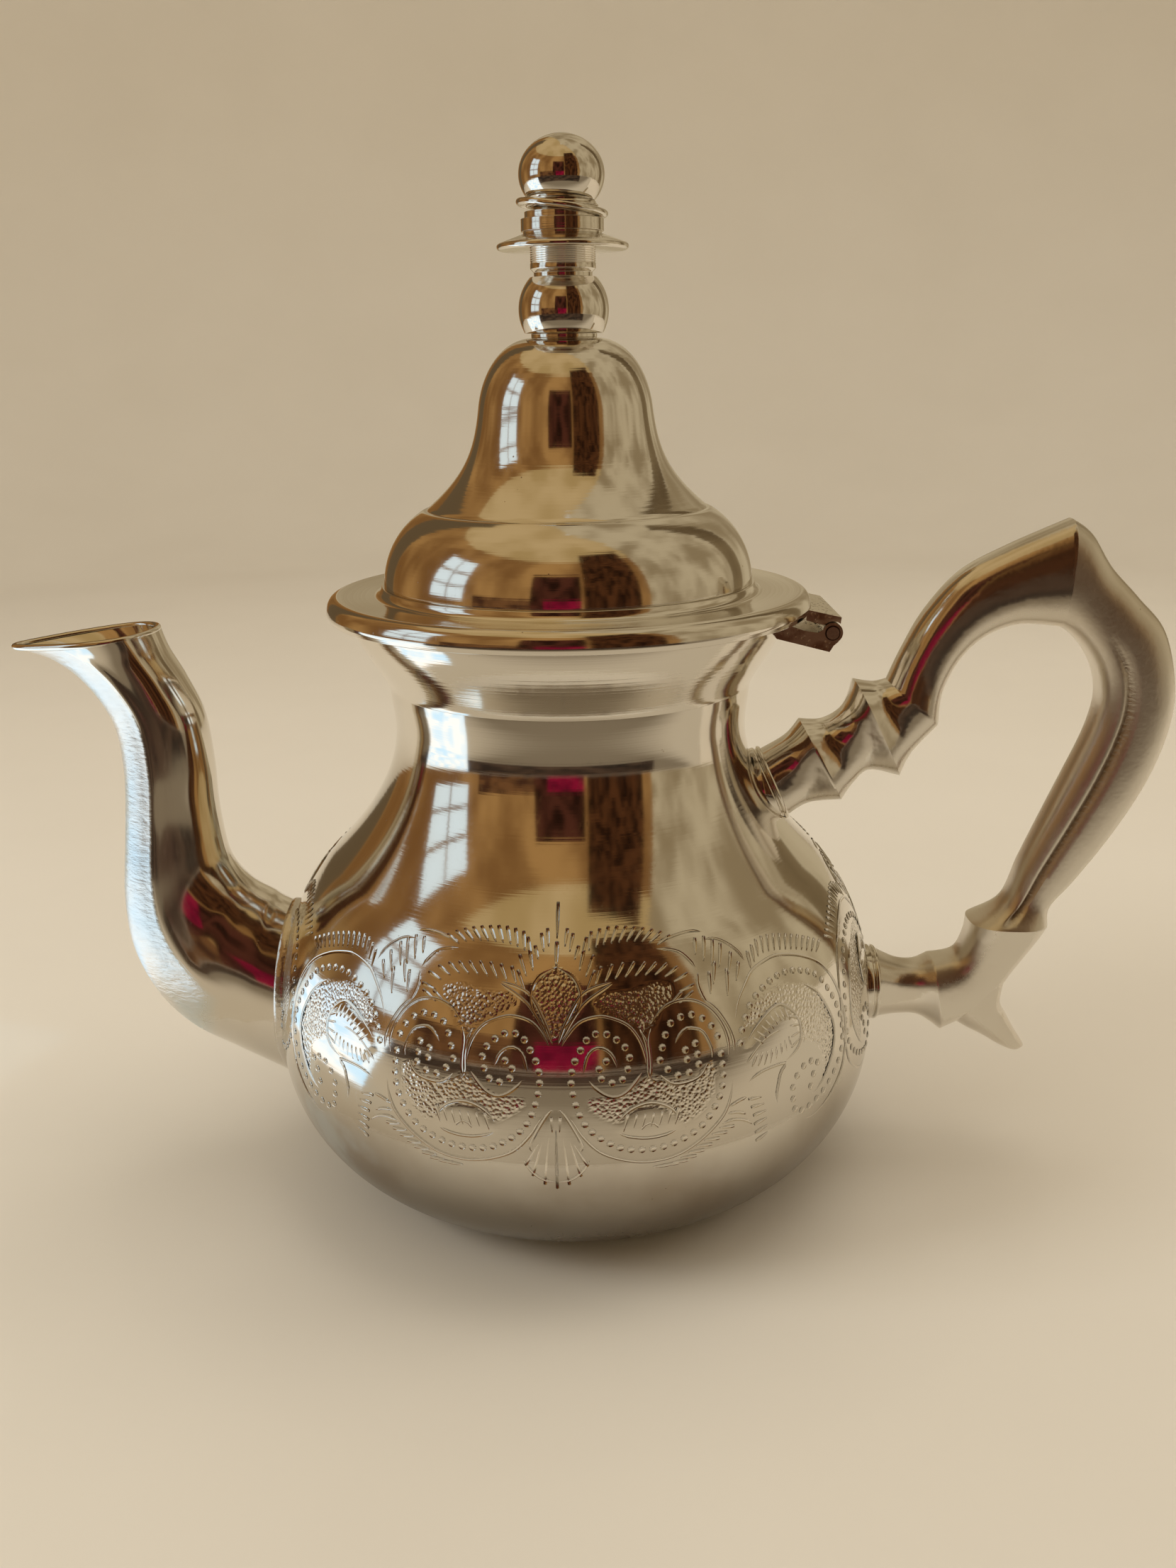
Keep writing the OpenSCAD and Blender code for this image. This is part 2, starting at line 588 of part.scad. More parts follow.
module finial_neck_bead() color("silver") turned(bead_z,
    [[0, 0], [neck_bead_r - 1.8, 0], [neck_bead_r - 1.4, 0.2 * bead_h],
        [neck_bead_r - 0.4, 0.35 * bead_h], [neck_bead_r, 0.5 * bead_h],
        [neck_bead_r - 0.4, 0.7 * bead_h], [neck_bead_r - 0.7, bead_h], [0, bead_h]]);

module finial_top_ball() color("gold") difference() {
    translate([0, 0, top_ball_z]) intersection() {
        rotate_extrude($fn = round_fn) polygon([for (i = [0:24]) let (a = 180 * i / 24)
            [top_ball_r * sin(a), -top_ball_h * cos(a)]]);
        translate([0, 0, -top_ball_cut]) cylinder(r = top_ball_r + 1, h = 2 * top_ball_h);
    }
    stud_hole(stud_top_z + 0.2);
}

body_shell();
base_disc();
neck_collar();
spout_left_half();
spout_right_half();
spout_root_band();
handle();
handle_upper_flange();
handle_lower_flange();
hinge_lower_leaf();
hinge_pin();
hinge_upper_leaf();
lid_brim();
lid_dome();
lid_skirt();
finial_stud();
finial_nut();
finial_washer();
finial_base_ring();
finial_lower_ball();
finial_sleeve();
finial_disc();
finial_spacer();
finial_spring_ring();
finial_neck_bead();
finial_top_ball();
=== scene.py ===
import math
import bmesh
import bpy
import numpy as np
from mathutils import Euler, Matrix, Vector


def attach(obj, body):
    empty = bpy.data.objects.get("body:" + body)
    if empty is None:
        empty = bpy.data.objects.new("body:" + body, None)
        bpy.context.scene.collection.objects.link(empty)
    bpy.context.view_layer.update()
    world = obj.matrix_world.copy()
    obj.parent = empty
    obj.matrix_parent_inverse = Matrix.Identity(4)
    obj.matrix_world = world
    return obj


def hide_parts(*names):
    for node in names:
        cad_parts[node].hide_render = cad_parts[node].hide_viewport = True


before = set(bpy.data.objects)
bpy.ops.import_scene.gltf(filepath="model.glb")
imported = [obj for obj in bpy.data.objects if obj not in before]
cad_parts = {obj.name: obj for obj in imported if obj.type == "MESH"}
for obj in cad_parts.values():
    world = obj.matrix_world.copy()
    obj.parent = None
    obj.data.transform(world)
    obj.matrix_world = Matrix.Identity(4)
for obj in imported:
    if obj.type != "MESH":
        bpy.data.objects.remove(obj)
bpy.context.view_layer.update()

# ---- camera ----
# The pot is seen from its side, from a little above, as it stands on a table.
# The lens is a short one held close, so the near belly looms a little.
eye_place, eye_dip, eye_roll = (0.0035, -0.297, 0.176), 16.78, -0.8
eye = bpy.data.objects.new("camera", bpy.data.cameras.new("camera"))
eye.data.lens = 32.55
eye.data.clip_start = 0.01
eye.matrix_world = (Matrix.Translation(eye_place)
    @ Euler((math.radians(90 - eye_dip), 0, 0)).to_matrix().to_4x4()
    @ Matrix.Rotation(math.radians(eye_roll), 4, "Z"))
bpy.context.scene.collection.objects.link(eye)
bpy.context.scene.camera = eye


# ---- table, backdrop and lamps ----
# One pale sweep is floor and backdrop on every side of the pot. Three soft lamps
# light it. Cards in the tones of a room, and a paned window, glow for polished metal alone.
def solid(name, points, faces, crease=None):
    """A mesh object, from points in millimetres in the pot's own frame."""
    mesh = bpy.data.meshes.new(name)
    mesh.from_pydata((np.asarray(points, float) * 0.001).tolist(), [], faces)
    mesh.shade_smooth()
    if crease:
        mesh.set_sharp_from_angle(angle=math.radians(crease))
    piece = bpy.data.objects.new(name, mesh)
    bpy.context.scene.collection.objects.link(piece)
    return piece


def spun_points(outline, turns):
    """Turns an outline of radii and heights round the pot's axis."""
    angles = np.arange(turns) * 2 * math.pi / turns
    points, rings = [], []
    for r, z in outline:
        if r < 1e-6:
            rings.append([len(points)] * turns)
            points.append((0, 0, z))
        else:
            rings.append(list(range(len(points), len(points) + turns)))
            points += [(r * math.cos(a), r * math.sin(a), z) for a in angles]
    return points, rings


def ring_faces(rings, closed=False):
    """The faces between neighbouring rings of points, three-cornered where a ring is a pole."""
    pairs = list(zip(rings, rings[1:])) + ([(rings[-1], rings[0])] if closed else [])
    return [list(dict.fromkeys(corners)) for low, up in pairs
        for corners in zip(low, low[1:] + low[:1], up[1:] + up[:1], up)]


def spun(name, outline, turns, closed=False, crease=None):
    """A spun piece. Its metal lies on the left of the outline's direction."""
    points, rings = spun_points(outline, turns)
    return solid(name, points, ring_faces(rings, closed), crease)


class Reading:
    """A socket of a node tree. Sums and products of it add their Math nodes."""

    def __init__(self, graph, socket):
        self.graph, self.socket = graph, socket

    def maths(self, operation, *others, swapped=False):
        values = [self, *others]
        if swapped:
            values.reverse()
        return self.graph.node("ShaderNodeMath", {"operation": operation}, dict(enumerate(values)))

    def __add__(self, other):
        return self.maths("ADD", other)

    def __sub__(self, other):
        return self.maths("SUBTRACT", other)

    def __rsub__(self, other):
        return self.maths("SUBTRACT", other, swapped=True)

    def __mul__(self, other):
        return self.maths("MULTIPLY", other)

    __radd__ = __add__
    __rmul__ = __mul__


class Graph:
    """A node tree that is written with one call for each node."""

    def __init__(self, tree):
        self.tree = tree

    def node(self, kind, settings=None, sockets=None, out=0):
        made = self.tree.nodes.new(kind)
        for key, value in (settings or {}).items():
            setattr(made, key, value)
        for key, value in (sockets or {}).items():
            if isinstance(value, Reading):
                self.tree.links.new(value.socket, made.inputs[key])
            else:
                made.inputs[key].default_value = value
        return Reading(self, made.outputs[out])


class Finish(Graph):
    """A surface finish: a Principled shader with what feeds it."""

    def __init__(self, name, **constants):
        self.material = bpy.data.materials.new(name)
        self.material.use_nodes = True
        super().__init__(self.material.node_tree)
        self.shader = self.tree.nodes["Principled BSDF"]
        self.place = self.node("ShaderNodeTexCoord", out=3)
        for key, value in constants.items():
            self.shader.inputs[key.replace("_", " ")].default_value = value

    def feed(self, **sockets):
        for key, value in sockets.items():
            self.tree.links.new(value.socket, self.shader.inputs[key.replace("_", " ")])

    def stretched(self, x, y, z):
        return self.node("ShaderNodeVectorMath", {"operation": "MULTIPLY"},
            {0: self.place, 1: (x, y, z)})

    def length(self, vector):
        return self.node("ShaderNodeVectorMath", {"operation": "LENGTH"}, {0: vector}, out=1)

    def noise(self, scale, detail=2.0, vector=None):
        return self.node("ShaderNodeTexNoise", None,
            {"Vector": vector or self.place, "Scale": scale, "Detail": detail})

    def cells(self, scale, feature="F1", **sockets):
        """The distance to the nearest of many scattered points."""
        return self.node("ShaderNodeTexVoronoi", {"feature": feature},
            {"Vector": self.place, "Scale": scale, **sockets})

    def painted(self, name):
        """A value that was painted on the points of the piece."""
        return self.node("ShaderNodeAttribute", {"attribute_name": name}, out=2)

    def between(self, value, low, high):
        """Rises smoothly from 0 to 1 while the value goes from low to high."""
        return self.node("ShaderNodeMapRange", {"interpolation_type": "SMOOTHSTEP"},
            {0: value, 1: low, 2: high, 3: 0.0, 4: 1.0})

    def mixed(self, share, first, second):
        """Goes from the first colour to the second."""
        colour = [c if isinstance(c, Reading) else (*c, 1.0) for c in (first, second)]
        return self.node("ShaderNodeMix", {"data_type": "RGBA"},
            {0: share, 6: colour[0], 7: colour[1]}, out=2)

    def bump(self, height, distance, below=None):
        sockets = {"Height": height, "Distance": distance, "Strength": 1.0}
        if below:
            sockets["Normal"] = below
        return self.node("ShaderNodeBump", None, sockets)

    def axis(self, index):
        return self.node("ShaderNodeSeparateXYZ", None, {0: self.place}, out=index)


def dress(piece, finish):
    piece.data.materials.clear()
    piece.data.materials.append(finish.material)


table_cloth = Finish("table_cloth", Roughness=0.85)
table_cloth.feed(Base_Color=table_cloth.mixed(
    table_cloth.noise(9, 3), (0.73, 0.66, 0.54), (0.78, 0.71, 0.59)))
flat_r, bend_r, table_z = 1000, 500, -0.05
sweep = [(flat_r + bend_r, z) for z in (1500, bend_r)]
sweep += [(flat_r + bend_r * math.cos(a), bend_r - bend_r * math.sin(a))
    for a in np.linspace(0.1, 1.5, 15)]
sweep += [(r, table_z) for r in (flat_r, 500, 0)]
table = spun("table_and_backdrop", sweep, 96)
dress(table, table_cloth)


def card(name, colour, near, far, low, high, distance=1.0, strength=1.0, second=None,
        grain=(2.5, 2.5, 0.8)):
    """A curved card round the pot, between two bearings from the camera's side and two rises."""
    columns, rows, centre = 17, 13, (0, 0, 80)
    bearings = np.radians(np.linspace(near, far, columns))
    rises = np.radians(np.linspace(low, high, rows))
    points = [1000 * distance * np.array(
        [math.cos(e) * math.sin(b), -math.cos(e) * math.cos(b), math.sin(e)]) + centre
        for b in bearings for e in rises]
    faces = [[i, i + 1, i + 1 + rows, i + rows]
        for first in range(0, rows * (columns - 1), rows) for i in range(first, first + rows - 1)]
    lit_card(solid(name, points, faces), colour, strength, second, grain)


def lit_card(sheet, colour, strength, second, grain=None, fade=None):
    """Makes a card glow faintly, so that it is seen in polished metal and nowhere else."""
    glow = Finish(sheet.name, Roughness=1.0, Emission_Strength=strength, Specular_IOR_Level=0.0)
    glow.shader.inputs["Base Color"].default_value = (0, 0, 0, 1)
    if fade:
        shade = glow.between(glow.axis(1) * -1.0, *fade)
    else:
        shade = glow.between(glow.noise(1.0, 3, glow.stretched(*grain)), 0.36, 0.64)
    glow.feed(Emission_Color=glow.mixed(shade, colour, second or colour))
    dress(sheet, glow)
    sheet.visible_camera = sheet.visible_diffuse = sheet.visible_shadow = False


def low_card(name, colour, near, far, inner, outer, lift, strength, second, **change):
    """A flat card just over the table, between two bearings and two distances from the pot."""
    bearings = np.radians(np.linspace(near, far, 25))
    points = [(r * math.sin(b), -r * math.cos(b), lift) for b in bearings for r in (inner, outer)]
    faces = [[2 * i, 2 * i + 2, 2 * i + 3, 2 * i + 1] for i in range(24)]
    lit_card(solid(name, points, faces), colour, strength, second, **change)


card("amber_walls", (0.38, 0.205, 0.068), -165, 50, -4, 52, second=(0.19, 0.088, 0.026))
card("tan_ceiling", (0.52, 0.37, 0.18), -165, 50, 50, 89, 1.01, second=(0.40, 0.27, 0.11))
card("pale_drape", (0.49, 0.40, 0.255), 50, 195, -4, 89, 1.02, second=(0.27, 0.20, 0.11),
    grain=(4, 4, 1.5))
card("dark_wood", (0.008, 0.003, 0.002), 10, 44, -4, 60, 0.95, second=(0.085, 0.03, 0.010),
    grain=(22, 22, 0.3))
card("standing_figure", (0.014, 0.005, 0.003), -22, 8, -4, 36, 0.94, second=(0.075, 0.022, 0.012),
    grain=(8, 8, 3))
card("red_cloth", (0.25, 0.006, 0.03), -14, 8, -4, 8, 0.93, second=(0.10, 0.004, 0.015), grain=(8, 8, 8))
card("shelf", (0.05, 0.02, 0.01), -58, -22, -4, 9, 0.95, second=(0.16, 0.07, 0.025), grain=(8, 8, 8))
card("left_edge", (0.12, 0.08, 0.04), -152, -134, -4, 60, 0.98)
card("right_edge", (0.10, 0.065, 0.03), 120, 134, -4, 60, 0.98, second=(0.2, 0.14, 0.07))
for pane in range(6):
    left, foot = -90 + 13 * (pane % 2), 4 + 12.5 * (pane // 2)
    card("window_pane_%d" % pane, (0.64, 0.74, 0.80), left, left + 12, foot, foot + 10.9, 0.93, 1.25)
# The two floor cards paint shade into what the metal reflects: the table in front of the pot, from its
# own tone near the pot to dark further out.
low_card("near_floor", (0.54, 0.45, 0.32), -88, 88, 105, 1400, 1.0, 1.0, (0.22, 0.17, 0.11),
    fade=(0.09, 0.24))
low_card("far_floor", (0.085, 0.05, 0.03), -70, 52, 380, 1400, 1.3, 1.0, (0.02, 0.014, 0.01),
    grain=(6, 6, 6))
low_card("sunlit_patch", (0.50, 0.74, 0.95), -112, -66, 150, 900, 1.6, 1.5, (1.0, 0.95, 0.88),
    grain=(16, 16, 16))


def lamp(name, place, size, power, colour=(1.0, 0.96, 0.9)):
    """A soft square lamp that faces the pot."""
    light = bpy.data.lights.new(name, "AREA")
    light.size, light.energy, light.color = size, power, colour
    holder = bpy.data.objects.new(name, light)
    holder.location = place
    holder.rotation_euler = (Vector(place) - Vector((0, 0, 0.08))).to_track_quat("Z", "Y").to_euler()
    holder.visible_camera = holder.visible_glossy = False
    bpy.context.scene.collection.objects.link(holder)


lamp("window_light", (-0.85, -0.25, 0.55), 0.4, 3.6, (0.92, 0.96, 1.0))
lamp("overhead_light", (0.25, 0.2, 1.1), 0.9, 3.4)
lamp("side_light", (0.95, 0.15, 0.6), 0.5, 1.6)
world = bpy.data.worlds.new("soft_day")
world.use_nodes = True
daylight = world.node_tree.nodes["Background"].inputs
daylight["Color"].default_value = (0.95, 0.9, 0.82, 1)
daylight["Strength"].default_value = 0.62
bpy.context.scene.world = world
bpy.context.scene.view_settings.view_transform = "Standard"


# ---- bulb and neck ----
# The body is one sheet of nickel silver, spun over a form from the base to the
# seam of the collar and then silvered. Its lower belly has gone cloudy with use,
# and its colour there is darkened partly as painted shade.
def bezier(a, b, c, d, n):
    t = np.linspace(0, 1, n + 1)[:, None]
    a, b, c, d = (np.array(p, float) for p in (a, b, c, d))
    return (1 - t) ** 3 * a + 3 * (1 - t) ** 2 * t * b + 3 * (1 - t) * t * t * c + t ** 3 * d


def chain(*runs):
    """Joins runs of points end to end and drops the doubled ones."""
    points = [np.array(p, float) for run in runs for p in run]
    return [points[0]] + [p for last, p in zip(points, points[1:]) if np.hypot(*(p - last)) > 1e-4]


def aside(curve, d):
    """The same open curve, moved sideways by d to its left."""
    curve = np.array(curve)
    slope = np.gradient(curve, axis=0)
    slope /= np.hypot(slope[:, 0], slope[:, 1])[:, None]
    return curve + d * np.stack([-slope[:, 1], slope[:, 0]], 1)


def belly_and_neck(n):
    foot = [(32 + 34 * math.sin(a), 34.5 - 34.5 * math.cos(a))
        for a in np.linspace(0, math.pi / 2, n[0] + 1)]
    return chain(foot, bezier((66, 34.5), (66, 50.88), (62, 63.5), (52, 73.5), n[1]),
        bezier((52, 73.5), (44.2, 81.3), (37.3, 91.42), (37.3, 101.5), n[2]),
        bezier((37.3, 101.5), (37.3, 104.14), (38.1, 107.66), (38.1, 110.3), n[3]))


sheet_wall = 1.0
outside = np.array(belly_and_neck((40, 84, 26, 6)))
inside = aside(belly_and_neck((14, 12, 9, 3)), sheet_wall)[::-1]
inside[-1] = (32, sheet_wall)

# A place on the bulb: bearing from the camera's side in millimetres at the
# widest place, and length along the outline above it.
steps = np.hypot(*np.diff(outside, axis=0).T)
length_up = np.concatenate([[0], np.cumsum(steps)])
length_up -= length_up[np.argmax(outside[:, 0])]
facing = aside(outside, -1) - outside
bulb_r = 66.0


def on_bulb(u, v, lift=0.0):
    """Points on the bulb and the directions that face out of it there."""
    bearing, v = np.broadcast_arrays(np.asarray(u, float) / bulb_r, np.asarray(v, float))
    r, z = (np.interp(v, length_up, outside[:, k]) for k in (0, 1))
    nr, nz = (np.interp(v, length_up, facing[:, k]) for k in (0, 1))
    out = np.stack([nr * np.sin(bearing), -nr * np.cos(bearing), nz], -1)
    out /= np.linalg.norm(out, axis=-1, keepdims=True)
    place = np.stack([r * np.sin(bearing), -r * np.cos(bearing), z], -1)
    return place + np.asarray(lift)[..., None] * out, out


# The chased band repeats three times round the pot, each time mirrored about
# its oval. What follows is drawn on the right of that oval.
mirror_u = -3.3
repeat = 2 * math.pi * bulb_r / 3
stippled = [
    [(-8.4, 29.4), (-7.4, 27.2), (-3.3, 22.8), (0.8, 27.2), (1.8, 30.6), (0.3, 33.8), (-3.3, 35.8),
        (-6.9, 33.8)],
    [(5.1, 28.9), (7.2, 30.6), (12.2, 30.6), (17.2, 31.5), (20.4, 30.6), (20.3, 28.9), (17.9, 27.1),
        (15.8, 24.2), (13.8, 22.8), (12.2, 24.9), (8.6, 26.7)],
    [(2.9, 11), (7.9, 11.2), (12.2, 13.1), (14.4, 14.9), (16.5, 13.5), (20.4, 12.8), (24, 13.1),
        (26.5, 15.3), (27.6, 13.9), (26.9, 9.6), (24.7, 6.4), (21.5, 4.9), (20.1, 5.9), (17.9, 8.4),
        (14.7, 9.5), (11.5, 9.2), (9.4, 7.8), (8.3, 6.4), (5.1, 8.1), (2.9, 9.9)],
    [(35.9, 20.7), (37.6, 23), (40.3, 24.7), (43.8, 25.5), (46.8, 25.7), (50.7, 24.5), (54.5, 23),
        (57.6, 19.9), (59.9, 16.1), (60.9, 12.6), (60.3, 8.7), (58.4, 5.7), (56.1, 3.7), (56.3, 7.6),
        (55.7, 9.9), (53.8, 11.8), (50.7, 13), (49.7, 14.1), (49.9, 17.2), (48.8, 19.5),
        (46.8, 21.4), (44.5, 22.2), (41.1, 21.6), (37.6, 20.3)]]
swelling = [
    [(34.3, 15.8), (36.8, 18.7), (39.9, 20.7), (43, 22), (45.3, 22.2), (47.6, 20.7), (49.3, 18.7),
        (49.9, 16.4), (49.3, 13.7), (47.6, 12.2), (44.9, 11.2), (42.6, 11), (38, 12)],
    [(8.3, 6.4), (9.7, 8.1), (11.5, 9.2), (14, 9.75), (16.5, 9.2), (18.6, 7.8), (20.1, 5.6),
        (20.1, 3.9), (17.2, 3), (13.6, 2.8), (10.1, 3.5), (7.6, 4.7)],
    [(-3.3, 9), (-0.6, 7.4), (0.8, 3.9), (2.9, -0.8), (1.5, -3.3), (-0.6, -5.1), (-3.5, -5.9)]]


def depth_in(polygon, u, v):
    """How far inside a polygon each place lies; outside it is below zero."""
    corners = np.array(polygon, float)
    far, crossings = np.full(u.shape, 1e9), np.zeros(u.shape, bool)
    for (a, b), (c, d) in zip(corners, np.roll(corners, -1, 0)):
        t = np.clip(((u - a) * (c - a) + (v - b) * (d - b)) / ((c - a) ** 2 + (d - b) ** 2), 0, 1)
        far = np.minimum(far, np.hypot(u - a - t * (c - a), v - b - t * (d - b)))
        if b != d:
            crossings ^= ((b > v) != (d > v)) & (u < (c - a) * (v - b) / (d - b) + a)
    return np.where(crossings, far, -far)


def folded(u):
    """The same place in the half of the pattern that is drawn."""
    away = np.mod(u - mirror_u, repeat)
    return mirror_u + np.minimum(away, repeat - away)


def paint(piece, name, values):
    """Writes a value on each point of a piece, for its finish to read."""
    piece.data.attributes.new(name, "FLOAT", "POINT").data.foreach_set("value", values)


turns = 480
seat = [(29.5, 0.25), (29.75, 0)]
loop = chain(seat, outside, inside, [(29.5, sheet_wall)])
points, rings = spun_points(loop, turns)
points = np.array(points)
place_u = np.tile((np.arange(turns) * 360 / turns + 90) * math.pi / 180 * bulb_r, len(outside))
place_v = np.repeat(length_up, turns)
ground, swell = (np.maximum.reduce([depth_in(p, folded(place_u), place_v) for p in fields])
    for fields in (stippled, swelling))
ground = np.clip(ground / 0.5 + 0.6, 0, 1)
ground_sink, swell_rise, swell_edge = 0.10, 0.16, 1.6
relief = swell_rise * np.clip(swell / swell_edge, 0, 1) ** 0.7 - ground_sink * ground
span = slice(len(seat) * turns, (len(seat) + len(outside)) * turns)
points[span], _ = on_bulb(place_u, place_v, relief)
bulb = solid("bulb_and_neck", points, ring_faces(rings, True), crease=40)
marks = np.zeros(len(points))
marks[span] = ground
paint(bulb, "ground", marks)


def silvered(name, tint=(0.80, 0.765, 0.70), rough=0.075, lines=0.000012, dust=0.5, haze=None):
    """Polished silver plate with wiping marks, spinning lines, dust and a breath of tarnish."""
    f = Finish(name, Metallic=1.0)
    smears = f.noise(38, 5)
    wipes = f.noise(1.0, 2, f.stretched(1500, 1500, 260))
    rings = f.noise(1.0, 3, f.node("ShaderNodeCombineXYZ", None,
        {0: f.length(f.stretched(1, 1, 0)) * 1400.0, 1: f.axis(2) * 1400.0}))
    speck = (1 - f.between(f.cells(330.0), 0.03, 0.07)) * f.between(f.noise(45, 2), 0.5, 0.62) * dust
    roughness = rough + smears * 0.035 + f.between(wipes, 0.55, 0.8) * 0.05 + speck * 0.4
    tarnish = f.between(f.noise(22, 4), 0.48, 0.75)
    colour = f.mixed(tarnish * 0.35, tint, (0.72, 0.63, 0.50))
    if haze:
        roughness = roughness + haze(f)
    colour = f.mixed(speck, colour, (0.42, 0.33, 0.24))
    f.colour, f.roughness = colour, roughness
    f.height = f.bump(rings, lines, f.bump(f.noise(16, 1), 0.0002))
    f.feed(Roughness=roughness, Base_Color=colour, Normal=f.height)
    return f


def cloudy_belly(f):
    """The dull, wiped underside of the bulb."""
    low = 1 - f.between(f.axis(2), 0.008, 0.032)
    return low * (0.08 + f.noise(60, 5) * 0.16)


# In this section and others f is the finish that is being made.
f = bulb_silver = silvered("bulb_silver", haze=cloudy_belly)
mask = f.painted("ground")
pebbles = f.cells(1450.0, "SMOOTH_F1", Smoothness=0.3)
low = 1 - f.between(f.axis(2), 0.012, 0.044)
stain = low * f.between(f.noise(35, 5), 0.42, 0.7)
# Towards the bottom the colour is darkened: partly dulling with use, partly painted shade of the
# shadowed table that the belly reflects.
dulled_and_shaded = f.mixed(low * 0.9, f.colour, (0.17, 0.14, 0.10))
warm = f.mixed(stain * 0.7, dulled_and_shaded, (0.20, 0.145, 0.09))
left = 1 - f.between(f.axis(0), -0.055, -0.03)
bluish = left * f.between(f.noise(55, 3), 0.45, 0.6)
f.feed(Base_Color=f.mixed(bluish * 0.55, warm, (0.62, 0.72, 0.80)),
    Roughness=f.roughness + mask * 0.10, Normal=f.bump(mask * (1 - pebbles), 0.0002, f.height))
dress(bulb, bulb_silver)
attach(bulb, "pot")
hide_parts("body_shell")


# ---- chased band ----
# Scrolls, leaves and hatching are cut into the bulb with gravers, and rows of
# pearls are punched from a ring tool, before the pot is silvered.
def through(rows, t):
    """A smooth curve through the rows, read at places t counted in rows."""
    rows, t = np.array(rows, float), np.atleast_1d(np.asarray(t, float))
    last = len(rows) - 1
    i = np.clip(np.floor(t).astype(int), 0, last - 1)
    f = (t - i)[:, None]
    a, b, c, d = rows[np.maximum(i - 1, 0)], rows[i], rows[i + 1], rows[np.minimum(i + 2, last)]
    return 0.5 * (2 * b + (c - a) * f + (2 * a - 5 * b + 4 * c - d) * f ** 2
        + (3 * b - a - 3 * c + d) * f ** 3)


def walked(points, pitch):
    """Places at an even pitch along the smooth curve through the points."""
    fine = through(points, np.linspace(0, len(points) - 1, 40 * len(points)))
    run = np.concatenate([[0], np.cumsum(np.hypot(*np.diff(fine, axis=0).T))])
    count = max(1, round(run[-1] / pitch))
    at = np.linspace(0, run[-1], count + 1)
    return np.stack([np.interp(at, run, fine[:, k]) for k in (0, 1)], 1)


scrolls = [
    stippled[0][2:7],
    [(-3.1, 20.5), (-1.5, 25), (1.5, 30), (4.4, 31.7), (9.4, 32.8)],
    [(-2.6, 21.5), (0.4, 26.5), (3.4, 29.6), (9.4, 32.8)],
    [(-3, 19.6), (-1, 23.1), (1.5, 25.6), (5.1, 26.5), (7.9, 26), (10.8, 24.6), (12.6, 22.4),
        (13.6, 19.9), (14, 17.4), (13.8, 14.6)],
    [(2.6, 15.6), (3.6, 13.9), (5.8, 12.1), (7.9, 11.5), (10.1, 12.4), (12.2, 14.6), (13.6, 16.4)],
    [(1.9, 15.6), (2.2, 17.4), (2.9, 19.6), (4.4, 20.8), (6.1, 20.6), (7.6, 19.2), (8.6, 16.4)],
    [(13.2, 23.6), (14.1, 21.4), (14.4, 18.4), (14.3, 15.3), (15.4, 13.6)],
    [(15.4, 23.6), (14.8, 21.4), (14.9, 18.4), (14.7, 15.3), (13.4, 13.9)],
    [(15.4, 24.4), (18.4, 27), (22, 27.9), (25.6, 27.2), (28.6, 24.9), (30.6, 21.4), (31.2, 17.6),
        (30.4, 14.4)],
    [(19.6, 19.4), (20.8, 21.4), (22.6, 22.6), (24.8, 22.2), (26, 21.4), (26.9, 19.6), (27.5, 17.4),
        (27.1, 15.3)],
    [(16.4, 15), (18.6, 12.9), (21.6, 12.6), (24.6, 13.4), (26.4, 15.6)],
    [(-3, 10.6), (-0.3, 7.1), (1.5, 4.2), (4.4, 1), (7.9, -0.8), (12.2, -2), (15.8, -2.2),
        (19.4, -1.7), (22.9, -0.25), (26.5, 2.1), (29.4, 4.9), (30.8, 8.1), (31.5, 11.7), (32, 13.9)],
    swelling[1][:7],
    swelling[1][:6:-1],
    [(12.4, 4.1), (13, 5.3), (14.2, 5.8), (15.4, 5.3), (16, 4.1)],
    [(-3.3, 9), (-2.1, 8.9), (0.8, 3.9), (1.5, 1.7), (0.4, -0.1)],
    [(-3.3, -5.9), (-0.6, -5.1), (1.5, -3.3), (2.9, -0.8)],
    [(19.4, 39.2), (24.7, 40.1), (28.6, 40.3), (31.8, 39.6)],
    [(19, 38), (21.9, 37.6), (24.4, 36.7), (26.1, 34.9), (27.4, 32.8)],
    [(27.4, 32.4), (26.7, 30.3), (27.2, 27.8), (28.1, 26.4)],
    [(26.5, 27.8), (29.4, 25.3), (31.5, 21.7), (32.4, 18.5), (32.2, 15.6)],
    [(30.7, 38.2), (33.4, 38), (35.3, 37.2), (37.2, 35.8), (38.6, 34.1), (39.5, 31.8)],
    [(32.4, 16.8), (33.4, 21.4), (34.9, 25.1), (37.6, 28), (40.3, 30.1), (43.8, 31), (47.2, 31.3),
        (50.7, 30.7), (54.5, 29.5), (58.4, 27.6), (61.1, 25.7), (63.4, 23), (65.1, 19.5),
        (66, 15.7), (66.5, 11.8), (66, 7.6), (65.2, 5.3), (63.8, 2.2), (60.3, -0.9), (56.8, -2.8),
        (53, -3.8), (49.2, -3.2), (45.7, -2)],
    [(51.3, 25.1), (54.5, 23.3), (57.6, 20.7), (59.5, 17.6), (60.9, 14.5), (61.3, 11.4), (60.3, 8),
        (58.4, 5.3), (56.1, 3), (53, 1.4), (50.3, 1.8)],
    swelling[0][:12],
    [(34.2, 12.8), (36.5, 14.9), (39.2, 16.6), (42.2, 17.4), (45.7, 17.4)],
    [(34, 9.1), (36.8, 10.5), (39.9, 11), (44.5, 10.7), (43, 9.1), (42, 6), (41.9, 4.5), (42.2, 1.8)],
    [(28.6, 2.6), (31.1, 3), (33.8, 2.2), (35.7, 0.7)],
    [(30, 4.5), (32.2, 4.3), (34.2, 3.3)],
    [(30.3, 5.8), (32.4, 6.5), (34.5, 6.8)]]

